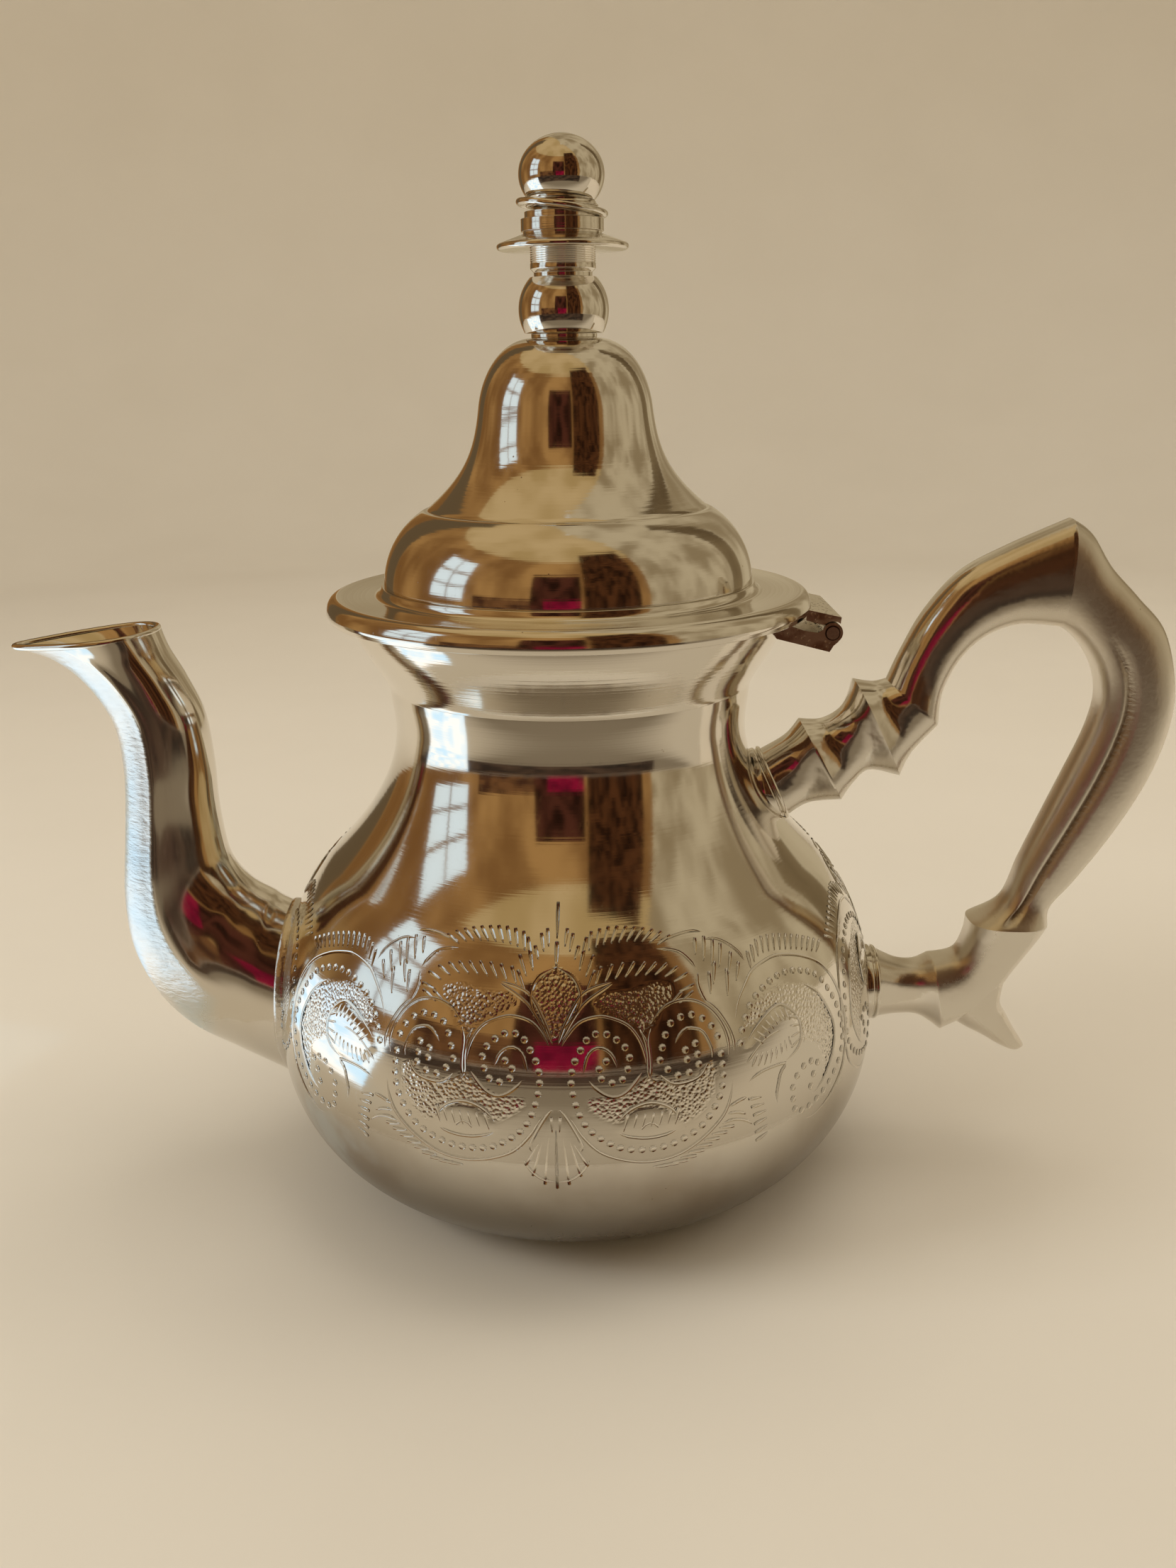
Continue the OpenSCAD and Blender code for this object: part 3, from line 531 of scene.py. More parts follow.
# Rows of punched pearls, as a pitch and the curve that they follow.
pearl_rows = [
    (2.1, [(1.5, 20.5), (3.4, 23), (6.4, 23.3), (9.3, 21.4), (10.8, 19), (9.8, 15.4), (7.9, 14.1),
        (5.3, 15.1)]),
    (1.8, [(4.9, 16.9), (6.3, 18.3)]),
    (2.4, [(29, 20), (27.8, 22.4), (25, 24.7), (21.9, 24.9), (19, 23.6), (17.6, 20.4), (16.7, 18.3),
        (17.2, 16.5), (20.7, 14), (24.4, 15.6)]),
    (2.1, [(24.1, 19.6), (21.5, 18.4), (22, 16.9), (24.3, 17.5)]),
    (2.1, [(0.4, 18.5), (-0.4, 14.9), (0.7, 9.5), (2.7, 5.6), (6.3, 2.6), (10.4, 0.8), (17.2, 0.6),
        (23.9, 3), (27.8, 7.4), (29.3, 11.7), (29.3, 16.7)]),
    (2.5, [(33.8, 17.6), (35.3, 21.2), (38.2, 24.5), (42.5, 26.6), (47.4, 27.6), (52.8, 26.9),
        (58.4, 24.3), (61.5, 20.3), (63.9, 15.3), (64.7, 10.7), (63.4, 5.7), (58.4, 1.4),
        (51.5, -1), (47.5, -0.5), (46.4, 2.5), (46.7, 6), (50.4, 8.5), (54.2, 7.6), (52.6, 5.3),
        (51.8, 3.2)])]

# Rows of graver cuts: pitch, length, lean at the two ends and the curve of their feet.
cut_rows = [
    (1.85, 2.8, 78, 22, [(4, 39.1), (7.4, 40.1), (11.5, 40.3), (15.2, 40.1), (18.5, 39.5), (20, 38.9)]),
    (2.2, 2.6, 66, 12, [(5.1, 32.7), (9.7, 33.5), (14.4, 33.6), (18.9, 33.2), (22, 31.6), (22.8, 29.6)]),
    (1.8, 2.5, 80, 28, [(40.4, 30.9), (43.5, 32.6), (46.5, 32.8), (50.2, 32.2), (55.8, 30.6),
        (61.7, 28.2)]),
    (1.9, 2.3, 0, -8, [(15.2, -3.6), (19.4, -3.1), (24.7, -0.2), (28.6, 2)]),
    (1.7, 2.2, 172, 200, [(37.6, 5.8), (38.6, 3.1), (39, 0.4), (39.4, -2.4)]),
    (1.7, 2.6, 75, 75, [(9.3, 4.9), (12.2, 4.7), (16.2, 4.7), (19.1, 4.9)]),
    (1.5, 2.0, -40, -75, [(37.2, 17.8), (40.4, 20), (43.6, 21.3), (46.4, 21)]),
    (1.5, 2.0, 60, 100, [(36.2, 12.6), (39.6, 12.2), (43, 12.3), (46.4, 13.1)]),
    (1.5, 2.2, 150, 200, [(49.2, 18.2), (49.6, 16.2), (49, 14.2)])]
single_cuts = [
    ((-3.3, 42), (-3.3, 47.2)), ((-3.2, 36.4), (-3.2, 39.8)), ((-1.4, 40), (-1, 42.6)),
    ((-0.3, 39), (0.3, 41.6)), ((0.8, 37.4), (1.5, 39.3)), ((1.8, 35.4), (2.6, 38.2)),
    ((2.3, 37.4), (3.3, 40.6)), ((3.2, 34.3), (4.6, 37.2)), ((3, 31), (4.6, 34.2)),
    ((20.2, 27.6), (22.4, 29)), ((22.3, 27.6), (24.8, 28.8)),
    ((28, 36), (28.8, 38.3)), ((29.6, 34.7), (31, 38)), ((31.2, 33.5), (32.8, 37)),
    ((32.8, 32.8), (34.4, 36)), ((34.6, 31.2), (36.2, 34)), ((36, 29.5), (37.4, 31.9)),
    ((33, 27.4), (34, 31)), ((30.4, 30), (31.6, 33)), ((29.2, 28.4), (29.8, 31.4)),
    ((-3.3, 4), (-3.3, -5)), ((-2, 4.2), (-1.2, -4.2)), ((-0.9, 3.6), (0.8, -2.8)),
    ((-0.1, 2.6), (2, -1.2)), ((-2.6, 5.2), (-2.5, 7.4))]


# What the spout's root and the handle's lower seat cover.
root_half_w, root_half_h, root_z = 16.2, 24.5, 37.5
seat_r, seat_z = 9.3, 38.5


def all_round(u, v):
    """The six copies of a drawn line round the pot, left out where a seat covers it."""
    for turn in range(3):
        for side in (1, -1):
            here = mirror_u + side * (u - mirror_u) + turn * repeat
            x, y, z = on_bulb(here, v)[0].T
            spout_seat = (x < 0) & ((y / root_half_w) ** 2 + ((z - root_z) / root_half_h) ** 2 < 1)
            handle_seat = (x > 0) & (np.hypot(y, z - seat_z) < seat_r)
            if not (spout_seat | handle_seat).any():
                yield here, v


class Rule(Graph):
    """A Geometry Nodes tree with named sizes, run once and turned into a plain mesh."""

    def __init__(self, name, **sizes):
        super().__init__(bpy.data.node_groups.new(name, "GeometryNodeTree"))
        for way in ("INPUT", "OUTPUT"):
            self.tree.interface.new_socket("Geometry", in_out=way, socket_type="NodeSocketGeometry")
        for size in sizes:
            self.tree.interface.new_socket(size, in_out="INPUT", socket_type="NodeSocketFloat")
        self.sizes = sizes
        self.start = self.tree.nodes.new("NodeGroupInput")

    def given(self, name):
        return Reading(self, self.start.outputs[name])

    def carried(self, name, kind="FLOAT"):
        return self.node("GeometryNodeInputNamedAttribute", {"data_type": kind}, {"Name": name})

    def made(self, name, mesh, geometry, finish):
        """Runs the tree on a mesh and keeps what comes out as one plain object."""
        whole = self.node("GeometryNodeRealizeInstances", None, {0: geometry})
        whole = self.node("GeometryNodeSetShadeSmooth", None, {0: whole})
        whole = self.node("GeometryNodeSetMaterial", None,
            {"Geometry": whole, "Material": finish.material})
        self.tree.links.new(whole.socket, self.tree.nodes.new("NodeGroupOutput").inputs[0])
        piece = bpy.data.objects.new(name, mesh)
        bpy.context.scene.collection.objects.link(piece)
        modifier = piece.modifiers.new("rule", "NODES")
        modifier.node_group = self.tree
        for item in self.tree.interface.items_tree:
            if item.in_out == "INPUT" and item.name in self.sizes:
                modifier[item.identifier] = self.sizes[item.name]
        bpy.context.view_layer.update()
        worked_out = piece.evaluated_get(bpy.context.evaluated_depsgraph_get())
        made = bpy.data.meshes.new_from_object(worked_out)
        piece.modifiers.clear()
        piece.data = made
        made.name = name
        return piece


def threads(name, lines):
    """A mesh of open lines, each a list of points with how broad it is at each."""
    points, edges, breadth = [], [], []
    for line, wide in lines:
        edges += [(len(points) + i, len(points) + i + 1) for i in range(len(line) - 1)]
        points += [tuple(p * 0.001) for p in line]
        breadth += list(wide * 0.001)
    mesh = bpy.data.meshes.new(name)
    mesh.from_pydata(points, edges, [])
    mesh.attributes.new("breadth", "FLOAT", "POINT").data.foreach_set("value", breadth)
    return mesh


def swept(name, lines, sides, finish):
    """Sweeps a round section along every line."""
    rule = Rule(name + "_rule", Sides=float(sides))
    line = rule.node("GeometryNodeMeshToCurve", None, {0: rule.given("Geometry")})
    section = rule.node("GeometryNodeCurvePrimitiveCircle", {"mode": "RADIUS"},
        {"Resolution": rule.given("Sides"), "Radius": 1.0})
    tube = rule.node("GeometryNodeCurveToMesh", None,
        {"Curve": line, "Profile Curve": section, "Scale": rule.carried("breadth"), "Fill Caps": True})
    return rule.made(name, threads(name, lines), tube, finish)


def hollowed(piece):
    """Turns the tilt of the normals round, so that a mark shades as the hollow a tool leaves."""
    mesh = piece.data
    count = len(mesh.vertices)
    place, normal = np.zeros(3 * count), np.zeros(3 * count)
    mesh.vertices.foreach_get("co", place)
    mesh.vertices.foreach_get("normal", normal)
    place, normal = place.reshape(-1, 3) * 1000, normal.reshape(-1, 3)
    bearing = np.arctan2(place[:, 0], -place[:, 1])
    _, out = on_bulb(bearing * bulb_r, np.interp(place[:, 2], outside[:, 1], length_up))
    rise = (normal * out).sum(1, keepdims=True)
    turned_in = np.where(rise > 0, 2 * rise * out - normal, normal)
    mesh.normals_split_custom_set_from_vertices(turned_in.tolist())
    return piece


cut_silver = silvered("cut_silver", tint=(0.76, 0.72, 0.65), rough=0.08, lines=0.0, dust=0.0)
scroll_half, scroll_sink = 0.38, 0.14
scroll_lines = []
for scroll in scrolls:
    drawn = walked(scroll, 0.9)
    share = np.linspace(0, 1, len(drawn))
    taper = np.clip(np.minimum(share, 1 - share) * 6, 0.35, 1)
    for u, v in all_round(*drawn.T):
        scroll_lines.append((on_bulb(u, v, -scroll_sink)[0], scroll_half * taper))
chased_scrolls = hollowed(swept("chased_scrolls", scroll_lines, 8, cut_silver))

cuts = list(single_cuts)
for pitch, length, first_lean, last_lean, feet in cut_rows:
    feet = walked(feet, pitch)
    for foot, lean in zip(feet, np.radians(np.linspace(first_lean, last_lean, len(feet)))):
        cuts.append((foot, foot + length * np.array([math.cos(lean), math.sin(lean)])))
cut_half = 0.44 * np.array([0.35, 0.6, 0.85, 1.0, 0.8])
cut_share = np.array([-0.15, 0.12, 0.45, 0.85, 1.25])
cut_sink = 0.36 * cut_half
cut_lines = []
for foot, tip in np.array(cuts):
    drawn = foot + cut_share[:, None] * (tip - foot)
    for u, v in all_round(*drawn.T):
        cut_lines.append((on_bulb(u, v, -cut_sink)[0], cut_half))
graver_cuts = hollowed(swept("graver_cuts", cut_lines, 8, cut_silver))

pearl_points, pearl_out = [], []
for pitch, row in pearl_rows:
    for u, v in walked(row, pitch):
        for here, up in all_round(np.array([u]), np.array([v])):
            place, out = on_bulb(here, up, -0.05)
            pearl_points.append(tuple(place[0] * 0.001))
            pearl_out += list(out[0])
pearl_mesh = bpy.data.meshes.new("punched_pearls")
pearl_mesh.from_pydata(pearl_points, [], [])
pearl_mesh.attributes.new("out", "FLOAT_VECTOR", "POINT").data.foreach_set("vector", pearl_out)
pearl_rule = Rule("pearl_rule", Radius=0.00078, Height=0.00036)
radius, height = pearl_rule.given("Radius"), pearl_rule.given("Height")
bead = pearl_rule.node("GeometryNodeMeshUVSphere", None, {"Segments": 10, "Rings": 6, "Radius": 1.0})
bead = pearl_rule.node("GeometryNodeTransform", None, {"Geometry": bead,
    "Scale": pearl_rule.node("ShaderNodeCombineXYZ", None, {0: radius, 1: radius, 2: height})})
upright = pearl_rule.node("FunctionNodeAlignRotationToVector", {"axis": "Z"},
    {"Vector": pearl_rule.carried("out", "FLOAT_VECTOR")})
beads = pearl_rule.node("GeometryNodeInstanceOnPoints", None,
    {"Points": pearl_rule.given("Geometry"), "Instance": bead, "Rotation": upright})
punched_pearls = hollowed(pearl_rule.made("punched_pearls", pearl_mesh, beads, cut_silver))
for marking in (chased_scrolls, graver_cuts, punched_pearls):
    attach(marking, "pot")


# ---- base disc ----
# A flat disc of the same sheet is soldered into the lip under the belly. The
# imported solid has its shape, so it only gets its dull, rubbed finish.
base_silver = silvered("base_silver", rough=0.3, dust=1.0)
dress(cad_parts["base_disc"], base_silver)


# ---- collar ----
# The flared collar is a second spun ring, soldered over the top of the neck.
# Its upper edge is rolled into a bead, on which the lid comes to rest.
def eased(outline, cut, corner=22):
    """Rounds the corners of a closed outline and holds its flats flat."""
    outline = [np.array(p, float) for p in outline]
    result = []
    for before, p, after in zip(outline[-1:] + outline, outline, outline[1:] + outline[:1]):
        run_in, run_out = np.hypot(*(before - p)), np.hypot(*(after - p))
        back, ahead = (before - p) / run_in, (after - p) / run_out
        if 180 - math.degrees(math.acos(np.clip(back @ ahead, -1, 1))) < corner:
            result.append(p)
            continue
        reach = min(cut, 0.45 * run_in, 0.45 * run_out)
        a, b = p + back * reach, p + ahead * reach
        if run_in > 3 * reach:
            result.append(p + back * reach * 1.4)
        result += [(1 - t) ** 2 * a + 2 * (1 - t) * t * p + t * t * b for t in (0, 0.33, 0.67, 1)]
        if run_out > 3 * reach:
            result.append(p + ahead * reach * 1.4)
    return result


def spun_sheet(name, outline, cut, turns, corner=22):
    """A spun piece with a closed outline and eased corners."""
    return spun(name, eased(outline, cut, corner), turns, closed=True)


collar_curve = bezier((38.35, 110.3), (38.75, 112.97), (46, 120.49), (46, 126.9), 40)
bead_arc = [(44.8 + 1.2 * math.cos(a), 126.9 + 1.2 * math.sin(a)) for a in np.linspace(0, math.pi, 12)]
collar_inside = aside(collar_curve, sheet_wall)[::-1]
collar = spun_sheet("collar", chain(collar_curve, bead_arc, collar_inside[1:]), 0.15, 320)
collar_silver = silvered("collar_silver", rough=0.085, lines=0.00003, dust=0.7)
dress(collar, collar_silver)
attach(collar, "pot")
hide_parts("neck_collar")


# ---- spout ----
# Two pressed halves are soldered edge to edge, front and back, into a swan neck.
# The front is ground down to a brushed strip, and the sides keep their polish.
# A row gives its front and back points, measured from the belly, half width and pinch.
spout_rows = [
    (-11, -20.5, -14, 20.5, 15, 0), (4, -12.4, -2, 25.4, 15, 0), (11, -8.7, 1.6, 27.8, 14.6, 0),
    (20.5, -3.4, 5.4, 30.2, 13.8, 0), (28, 4.2, 8.4, 33.6, 12.2, 0), (33, 15.5, 10.4, 38, 11, 0),
    (33.9, 28, 11.3, 44.5, 10.2, 0), (32.4, 42, 11.7, 50.5, 9.4, 0), (31.1, 56, 11.8, 58.5, 9.2, 0),
    (32.2, 67.2, 13, 69, 9, 0.1), (36.8, 75.6, 16.2, 76.8, 9.1, 0.2),
    (43.6, 81.4, 19.4, 82.8, 9.4, 0.35), (52.2, 84.2, 21, 87.4, 10, 0.5)]
top_row = len(spout_rows) - 1.0
spout_wall, bulb_z = 1.2, 34.5

# A low ridge runs along each side, at an angle, from one row to another.
ridge_at, ridge_half, ridge_h, ridge_start, ridge_end = 97.0, 7, 0.5, 2.2, 11.6


def swan_point(t, a, side, inset):
    """A point of the spout, t rows up it and a degrees from its back."""
    front_x, front_z, back_x, back_z, half, pinch = through(spout_rows, t).T
    front = np.stack([-bulb_r - front_x, bulb_z + front_z], 1)
    back = np.stack([-bulb_r - back_x, bulb_z + back_z], 1)
    span = front - back
    size = np.hypot(*span.T)
    c, s = -np.cos(np.radians(a)), np.sin(np.radians(a))
    ridge = ridge_h * np.exp(-((a - ridge_at) / ridge_half) ** 2) * (inset == 0)
    ridge = ridge * np.clip((t - ridge_start) / 1.5, 0, 1) * np.clip(ridge_end - t, 0, 1)
    p = 0.5 * (front + back) + ((0.5 * size - inset) * c)[:, None] * span / size[:, None]
    y = side * ((half - inset) * s * (1 - pinch * c) + ridge)
    return np.stack([p[:, 0], y, p[:, 1]], 1)


def outside_bulb(p):
    """How far a point lies outside the bulb, measured level."""
    return np.hypot(p[..., 0], p[..., 1]) - np.interp(p[..., 2], outside[:, 1], outside[:, 0])


def swan_start(a, side, inset):
    """Where a line along the spout comes out of the bulb."""
    t = np.linspace(0, 5, 800)
    clear = outside_bulb(swan_point(t, np.full(800, a), side, inset))
    i = np.nonzero(clear < 0)[0][-1]
    return t[i] + (t[i + 1] - t[i]) * clear[i] / (clear[i] - clear[i + 1])


def numbered(rings):
    """The numbers of the points in rings that are laid end to end."""
    return np.arange(len(rings) * len(rings[0])).reshape(len(rings), -1).tolist()


def spout_half(name, side, node):
    """One half from root to mouth, a C of an outer and an inner wall at each rung."""
    angles, rungs = np.linspace(0, 180, 41), np.linspace(0, 1, 97)
    starts = {inset: np.array([swan_start(a, side, inset) for a in angles]) for inset in (0, spout_wall)}
    rings = []
    for rung in rungs:
        outer, inner = (swan_point(first + (top_row - first) * rung, angles, side, inset)
            for inset, first in starts.items())
        rings.append(np.concatenate([outer, inner[::-1]])[::side])
    n = len(rings[0])
    ends = [[j + 1, j, n - 1 - j, n - 2 - j] for j in range(n // 2 - 1)]
    ends += [[v + (len(rings) - 1) * n for v in reversed(f)] for f in ends]
    piece = solid(name, np.concatenate(rings), ring_faces(numbered(rings)) + ends, crease=50)
    strip = np.concatenate([np.clip((angles - 99) / 4, 0, 1), np.zeros(len(angles))])[::side]
    paint(piece, "brushed", np.outer(np.clip((rungs - 0.16) / 0.05, 0, 1), strip).ravel())
    dress(piece, spout_silver)
    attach(piece, "pot")
    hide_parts(node)


f = spout_silver = silvered("spout_silver", rough=0.09, lines=0.0, dust=0.8)
strip = f.painted("brushed")
across = f.noise(1.0, 4, f.stretched(500, 60, 1300))
heat = f.between(f.noise(32, 3), 0.4, 0.65)
tinted = f.mixed(heat * 0.8, (0.84, 0.80, 0.74), (0.52, 0.74, 0.88))
f.feed(Base_Color=f.mixed(strip * 0.75, f.colour, tinted),
    Roughness=f.roughness + strip * (0.12 + across * 0.22),
    Normal=f.bump(across * strip, 0.00018, f.height))
spout_half("spout_left_side", -1, "spout_left_half")
spout_half("spout_right_side", 1, "spout_right_half")


def full_turn(steps):
    """Angles up one half of the spout and down the other, with the side that each is on."""
    angles = np.linspace(0, 180, steps)
    return [(a, 1) for a in angles] + [(a, -1) for a in angles[-2::-1]]


mouth_top, lip_r = np.array([top_row]), 0.72
rim = [swan_point(mouth_top, np.array([a]), side, 0.5 * spout_wall)[0] for a, side in full_turn(61)]
lip = swept("spout_lip", [(rim, np.full(len(rim), lip_r))], 12, spout_silver)
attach(lip, "pot")


# ---- solder round the root of the spout ----
# A narrow band closes the joint between spout and bulb. It was filled with solder
# and never dressed quite smooth.
def faced_out(piece):
    """Turns every face of a closed piece outwards."""
    work = bmesh.new()
    work.from_mesh(piece.data)
    bmesh.ops.recalc_face_normals(work, faces=work.faces)
    work.to_mesh(piece.data)
    work.free()
    return piece


solder_silver = silvered("solder_silver", tint=(0.74, 0.71, 0.66), rough=0.2, lines=0.0, dust=0.8)
solder_silver.feed(Normal=solder_silver.bump(solder_silver.noise(420, 4), 0.00025, solder_silver.height))
band_w, band_t, spout_middle_z = 2.1, 0.85, 41
root_rings = []
for a, side in full_turn(61)[:-1]:
    first = swan_start(a, side, 0)
    beside_a = a + 0.5 if a < 179 else a - 0.5
    here, above, beside = (swan_point(np.array([t]), np.array([b]), side, 0)[0]
        for t, b in ((first, a), (first + 0.15, a), (first, beside_a)))
    up = (above - here) / np.linalg.norm(above - here)
    off = np.cross(up, beside - here)
    off /= np.linalg.norm(off) * np.sign(off @ (here - (here[0], 0, spout_middle_z)))
    root_rings.append([here + up * (band_w * math.sin(b) - 0.25) + off * band_t * math.cos(b)
        for b in np.linspace(-0.35, math.pi / 2 + 0.1, 9)] + [here - off * 0.4 + up * 0.6])
root_faces = ring_faces(numbered(root_rings), True)
root_band = faced_out(solid("spout_solder_band", np.concatenate(root_rings), root_faces, crease=60))
dress(root_band, solder_silver)
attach(root_band, "pot")
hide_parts("spout_root_band")


# ---- handle ----
# The crook handle is cast in one piece, filed and polished. The ferrule's three
# sharp ridges, the knop and the spur are part of the casting.
# A row gives the outer and the inner point of a section and half its width.
grip_d, ridge_d, flange_t, boxiness = 6.0, 8.0, 2.2, 2.7
groove_at, groove_deep = 0.3, 0.27
lean, upper_z, lower_z = math.radians(23.9), 85.7, 38.5
upper_seat = np.array([np.interp(upper_z, outside[:, 1], outside[:, 0]), upper_z])
lower_seat = np.array([bulb_r, lower_z])
drawn_up, drawn_low = np.array([41.85, upper_z]), np.array([66.0, lower_z])
ridge_up = (49, 100.2, 58.2, 82.9, ridge_d)
ridge_mid = (60.4, 108.9, 70.5, 88.1, ridge_d + 0.6)
ridge_top = (67.5, 108.8, 78.4, 99.3, grip_d + 0.8)
peak = (104.1, 142.6, 103, 120.1, grip_d + 0.4)
knop = (105.9, 52.9, 88.5, 53.6, grip_d + 1.6)
ridge_low = (83, 27.6, 80.6, 44.7, grip_d + 1)
end_r = 7.5
end_c = drawn_up + flange_t * np.array([math.cos(lean), math.sin(lean)])
end_n = end_r * np.array([-math.sin(lean), math.cos(lean)])
upper_end = (*(end_c + end_n), *(end_c - end_n), 7)
lower_end = (66 + flange_t, lower_z - end_r, 66 + flange_t, lower_z + end_r, 7)
handle_runs = [
    [upper_end, (46.1, 96.7, 51.3, 82.2, 6.6), ridge_up],
    [ridge_up, (54, 100.3, 60.7, 86.5, 6.4), (58.4, 103.2, 64, 89.4, 6.6), ridge_mid],
    [ridge_mid, (64.5, 108.3, 73, 93.2, 7), ridge_top],
    [ridge_top, (70.4, 115.6, 79, 106.3, 6), (74.9, 123.9, 82.2, 113.3, 6),
        (81.9, 131.9, 87.3, 118.2, 6), (91.5, 137.2, 94.3, 120.7, 6), peak],
    [peak, (108.2, 139.6, 105.6, 118.5, 6.2), (112.8, 132.8, 108.8, 115.1, 6),
        (119, 126.3, 111.2, 110.9, 6), (125.4, 118.9, 112.4, 106.2, 6),
        (128.7, 107, 112.1, 101.6, 6), (128.2, 97, 110.3, 95.4, 6), (124.6, 85.8, 106.8, 87, 6),
        (118.3, 74, 102.8, 77.6, 5.7), (111.1, 63.2, 98.8, 67.6, 5.2),
        (106.3, 57.2, 95.4, 58.3, 5.2), knop],
    [knop, (104.2, 49.4, 88, 50.2, 6.6), (99.6, 42.4, 86.6, 46.6, 6), (93, 33, 84.6, 45.4, 6),
        ridge_low],
    [ridge_low, (78, 31, 77.2, 43.4, 5.6), (73, 31.4, 73, 43.8, 5.6), lower_end]]
spur_rows = [
    (98, 42, 84, 31, 5.4), (96.8, 34.6, 88.5, 28.1, 5.2), (98.6, 30.4, 92.8, 25.7, 4.4),
    (101.1, 26, 97.2, 22.9, 3.4), (103, 23, 100.6, 21.2, 1.9), (103.4, 22, 102.5, 21.3, 0.7)]


def seated(p):
    """Moves a drawn point with the real seats; both ends keep their shape."""
    share = np.clip((p[..., 1] - 46) / 32.2, 0, 1)[..., None]
    return p + (lower_seat - drawn_low) * (1 - share) + (upper_seat - drawn_up) * share


def boxy_angles(around):
    """Cosines and sines round a section that is between a circle and a box."""
    angle = 2 * math.pi * np.arange(around) / around
    return [np.sign(k) * np.abs(k) ** (2 / boxiness) for k in (np.cos(angle), np.sin(angle))]


def cast_rings(rows, around, groove=0.0):
    """Boxy sections; a groove presses in where the inner rail meets the outer."""
    outer, inner = seated(rows[:, 0:2]), seated(rows[:, 2:4])
    c, s = boxy_angles(around)
    p = 0.5 * (outer + inner)[:, None, :] + 0.5 * (outer - inner)[:, None, :] * c[None, :, None]
    dent = groove_deep * np.outer(groove, np.exp(-((c + groove_at) / 0.11) ** 2))
    y = np.outer(rows[:, 4], s) * (1 - dent)
    return np.stack([p[..., 0], y, p[..., 1]], -1)


def cast_solid(name, rings):
    """Closes a row of rings into a solid, with one flat face at each end."""
    numbers = numbered(rings)
    faces = ring_faces(numbers) + [numbers[0][::-1], numbers[-1]]
    return faced_out(solid(name, np.concatenate(rings), faces, crease=42))


def smooth_rows(run, n=9):
    return through(run, np.linspace(0, len(run) - 1, n * (len(run) - 1) + 1))


around = 96
satin_runs = [0.1, 0.1, 0.1, 0.25, 1.0, 0.45, 0.15]
rows, groove, satin = [], [], []
for run, dull in zip(handle_runs, satin_runs):
    part = smooth_rows(run)[1 if rows else 0:]
    share = np.linspace(0, 1, len(part))
    rows += list(part)
    groove += list(np.clip((share - 0.22) / 0.3, 0, 1) * np.clip((0.98 - share) / 0.04, 0, 1)
        * (run[-1] is knop))
    satin += [dull] * len(part)
handle = cast_solid("handle_casting", cast_rings(np.array(rows), around, groove))
to_rail = np.clip(-1.5 * np.cos(2 * math.pi * np.arange(around) / around) - 0.2, 0, 1)
paint(handle, "satin", np.clip(np.add.outer(satin, 0.8 * to_rail), 0, 1).ravel())
beside_groove = boxy_angles(around)[0] + groove_at
# This mark carries the filed ripples and roughness, and also painted shade down the groove.
paint(handle, "filed", np.outer(groove, np.exp(-(beside_groove / 0.10) ** 2)).ravel())

f = cast_silver = silvered("cast_silver", rough=0.075, lines=0.0, dust=0.6)
satin_mask, filed_and_shaded_mask = f.painted("satin"), f.painted("filed")
strokes = f.noise(1.0, 3, f.stretched(1500, 120, 1500))
ripples = f.noise(1.0, 2, f.stretched(700, 300, 1400))
skin = f.bump(f.noise(140, 3), 0.00012, f.height)
# Down the groove the colour is darkened: painted shade between the inner rail and the grip.
f.feed(Base_Color=f.mixed(filed_and_shaded_mask * 0.65, f.colour, (0.30, 0.23, 0.16)),
    Roughness=f.roughness + satin_mask * (0.20 + strokes * 0.10) + filed_and_shaded_mask * 0.15,
    Normal=f.bump(strokes * satin_mask, 0.00002, f.bump(ripples * filed_and_shaded_mask, 0.0004, skin)))
dress(handle, cast_silver)
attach(handle, "pot")
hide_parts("handle")

spur = cast_solid("handle_spur", cast_rings(smooth_rows(spur_rows), 48))
paint(spur, "satin", [0.5] * len(spur.data.vertices))
dress(spur, cast_silver)
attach(spur, "pot")


# ---- handle flanges ----
# Each end of the handle is soldered to a turned seat. The seats are cut to the
# curve of the neck and the bulb, and a bright ring of solder runs round them.
def seat_flange(name, node, centre, direction, rim, step):
    """A turned seat, from its radius and the height of its solder ring, laid onto the bulb."""
    out, over = np.array([direction[0], 0, direction[1]]), np.array([-direction[1], 0, direction[0]])
    on_sheet = [(r, None) for r in (0.5, 3, 6, rim - 0.2, rim)]
    solder = [(rim, step), (rim - 0.15, step + 0.25), (rim - 0.5, step + 0.4), (rim - 0.55, 1.15)]
    turned_edge = [(rim - 0.25, 1.35), (rim - 0.15, 1.6), (rim - 0.25, 1.95)]
    top = [(r, flange_t) for r in (rim - 0.5, 6, 0.5)]
    reach = np.linspace(-7, 7, 281)
    rings = []
    for r, h in on_sheet + solder + turned_edge + top:
        rings.append([])
        for b in np.linspace(0, 2 * math.pi, 96, endpoint=False):
            p = np.array([centre[0], 0, centre[1]]) + r * (math.cos(b) * over + (0, math.sin(b), 0))
            lift = h
            if h is None:
                lift = np.interp(0, outside_bulb(p + reach[:, None] * out), reach) - 0.05
            rings[-1].append(p + lift * out)
    piece = cast_solid(name, rings)
    dress(piece, flange_silver)
    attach(piece, "pot")
    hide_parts(node)


flange_silver = silvered("flange_silver", rough=0.10, lines=0.0, dust=0.4)
seat_flange("handle_upper_seat", "handle_upper_flange", upper_seat, (math.cos(lean), math.sin(lean)),
    8.7, 0.55)
seat_flange("handle_lower_seat", "handle_lower_flange", lower_seat, (1.0, 0.0), 8.6, 0.5)


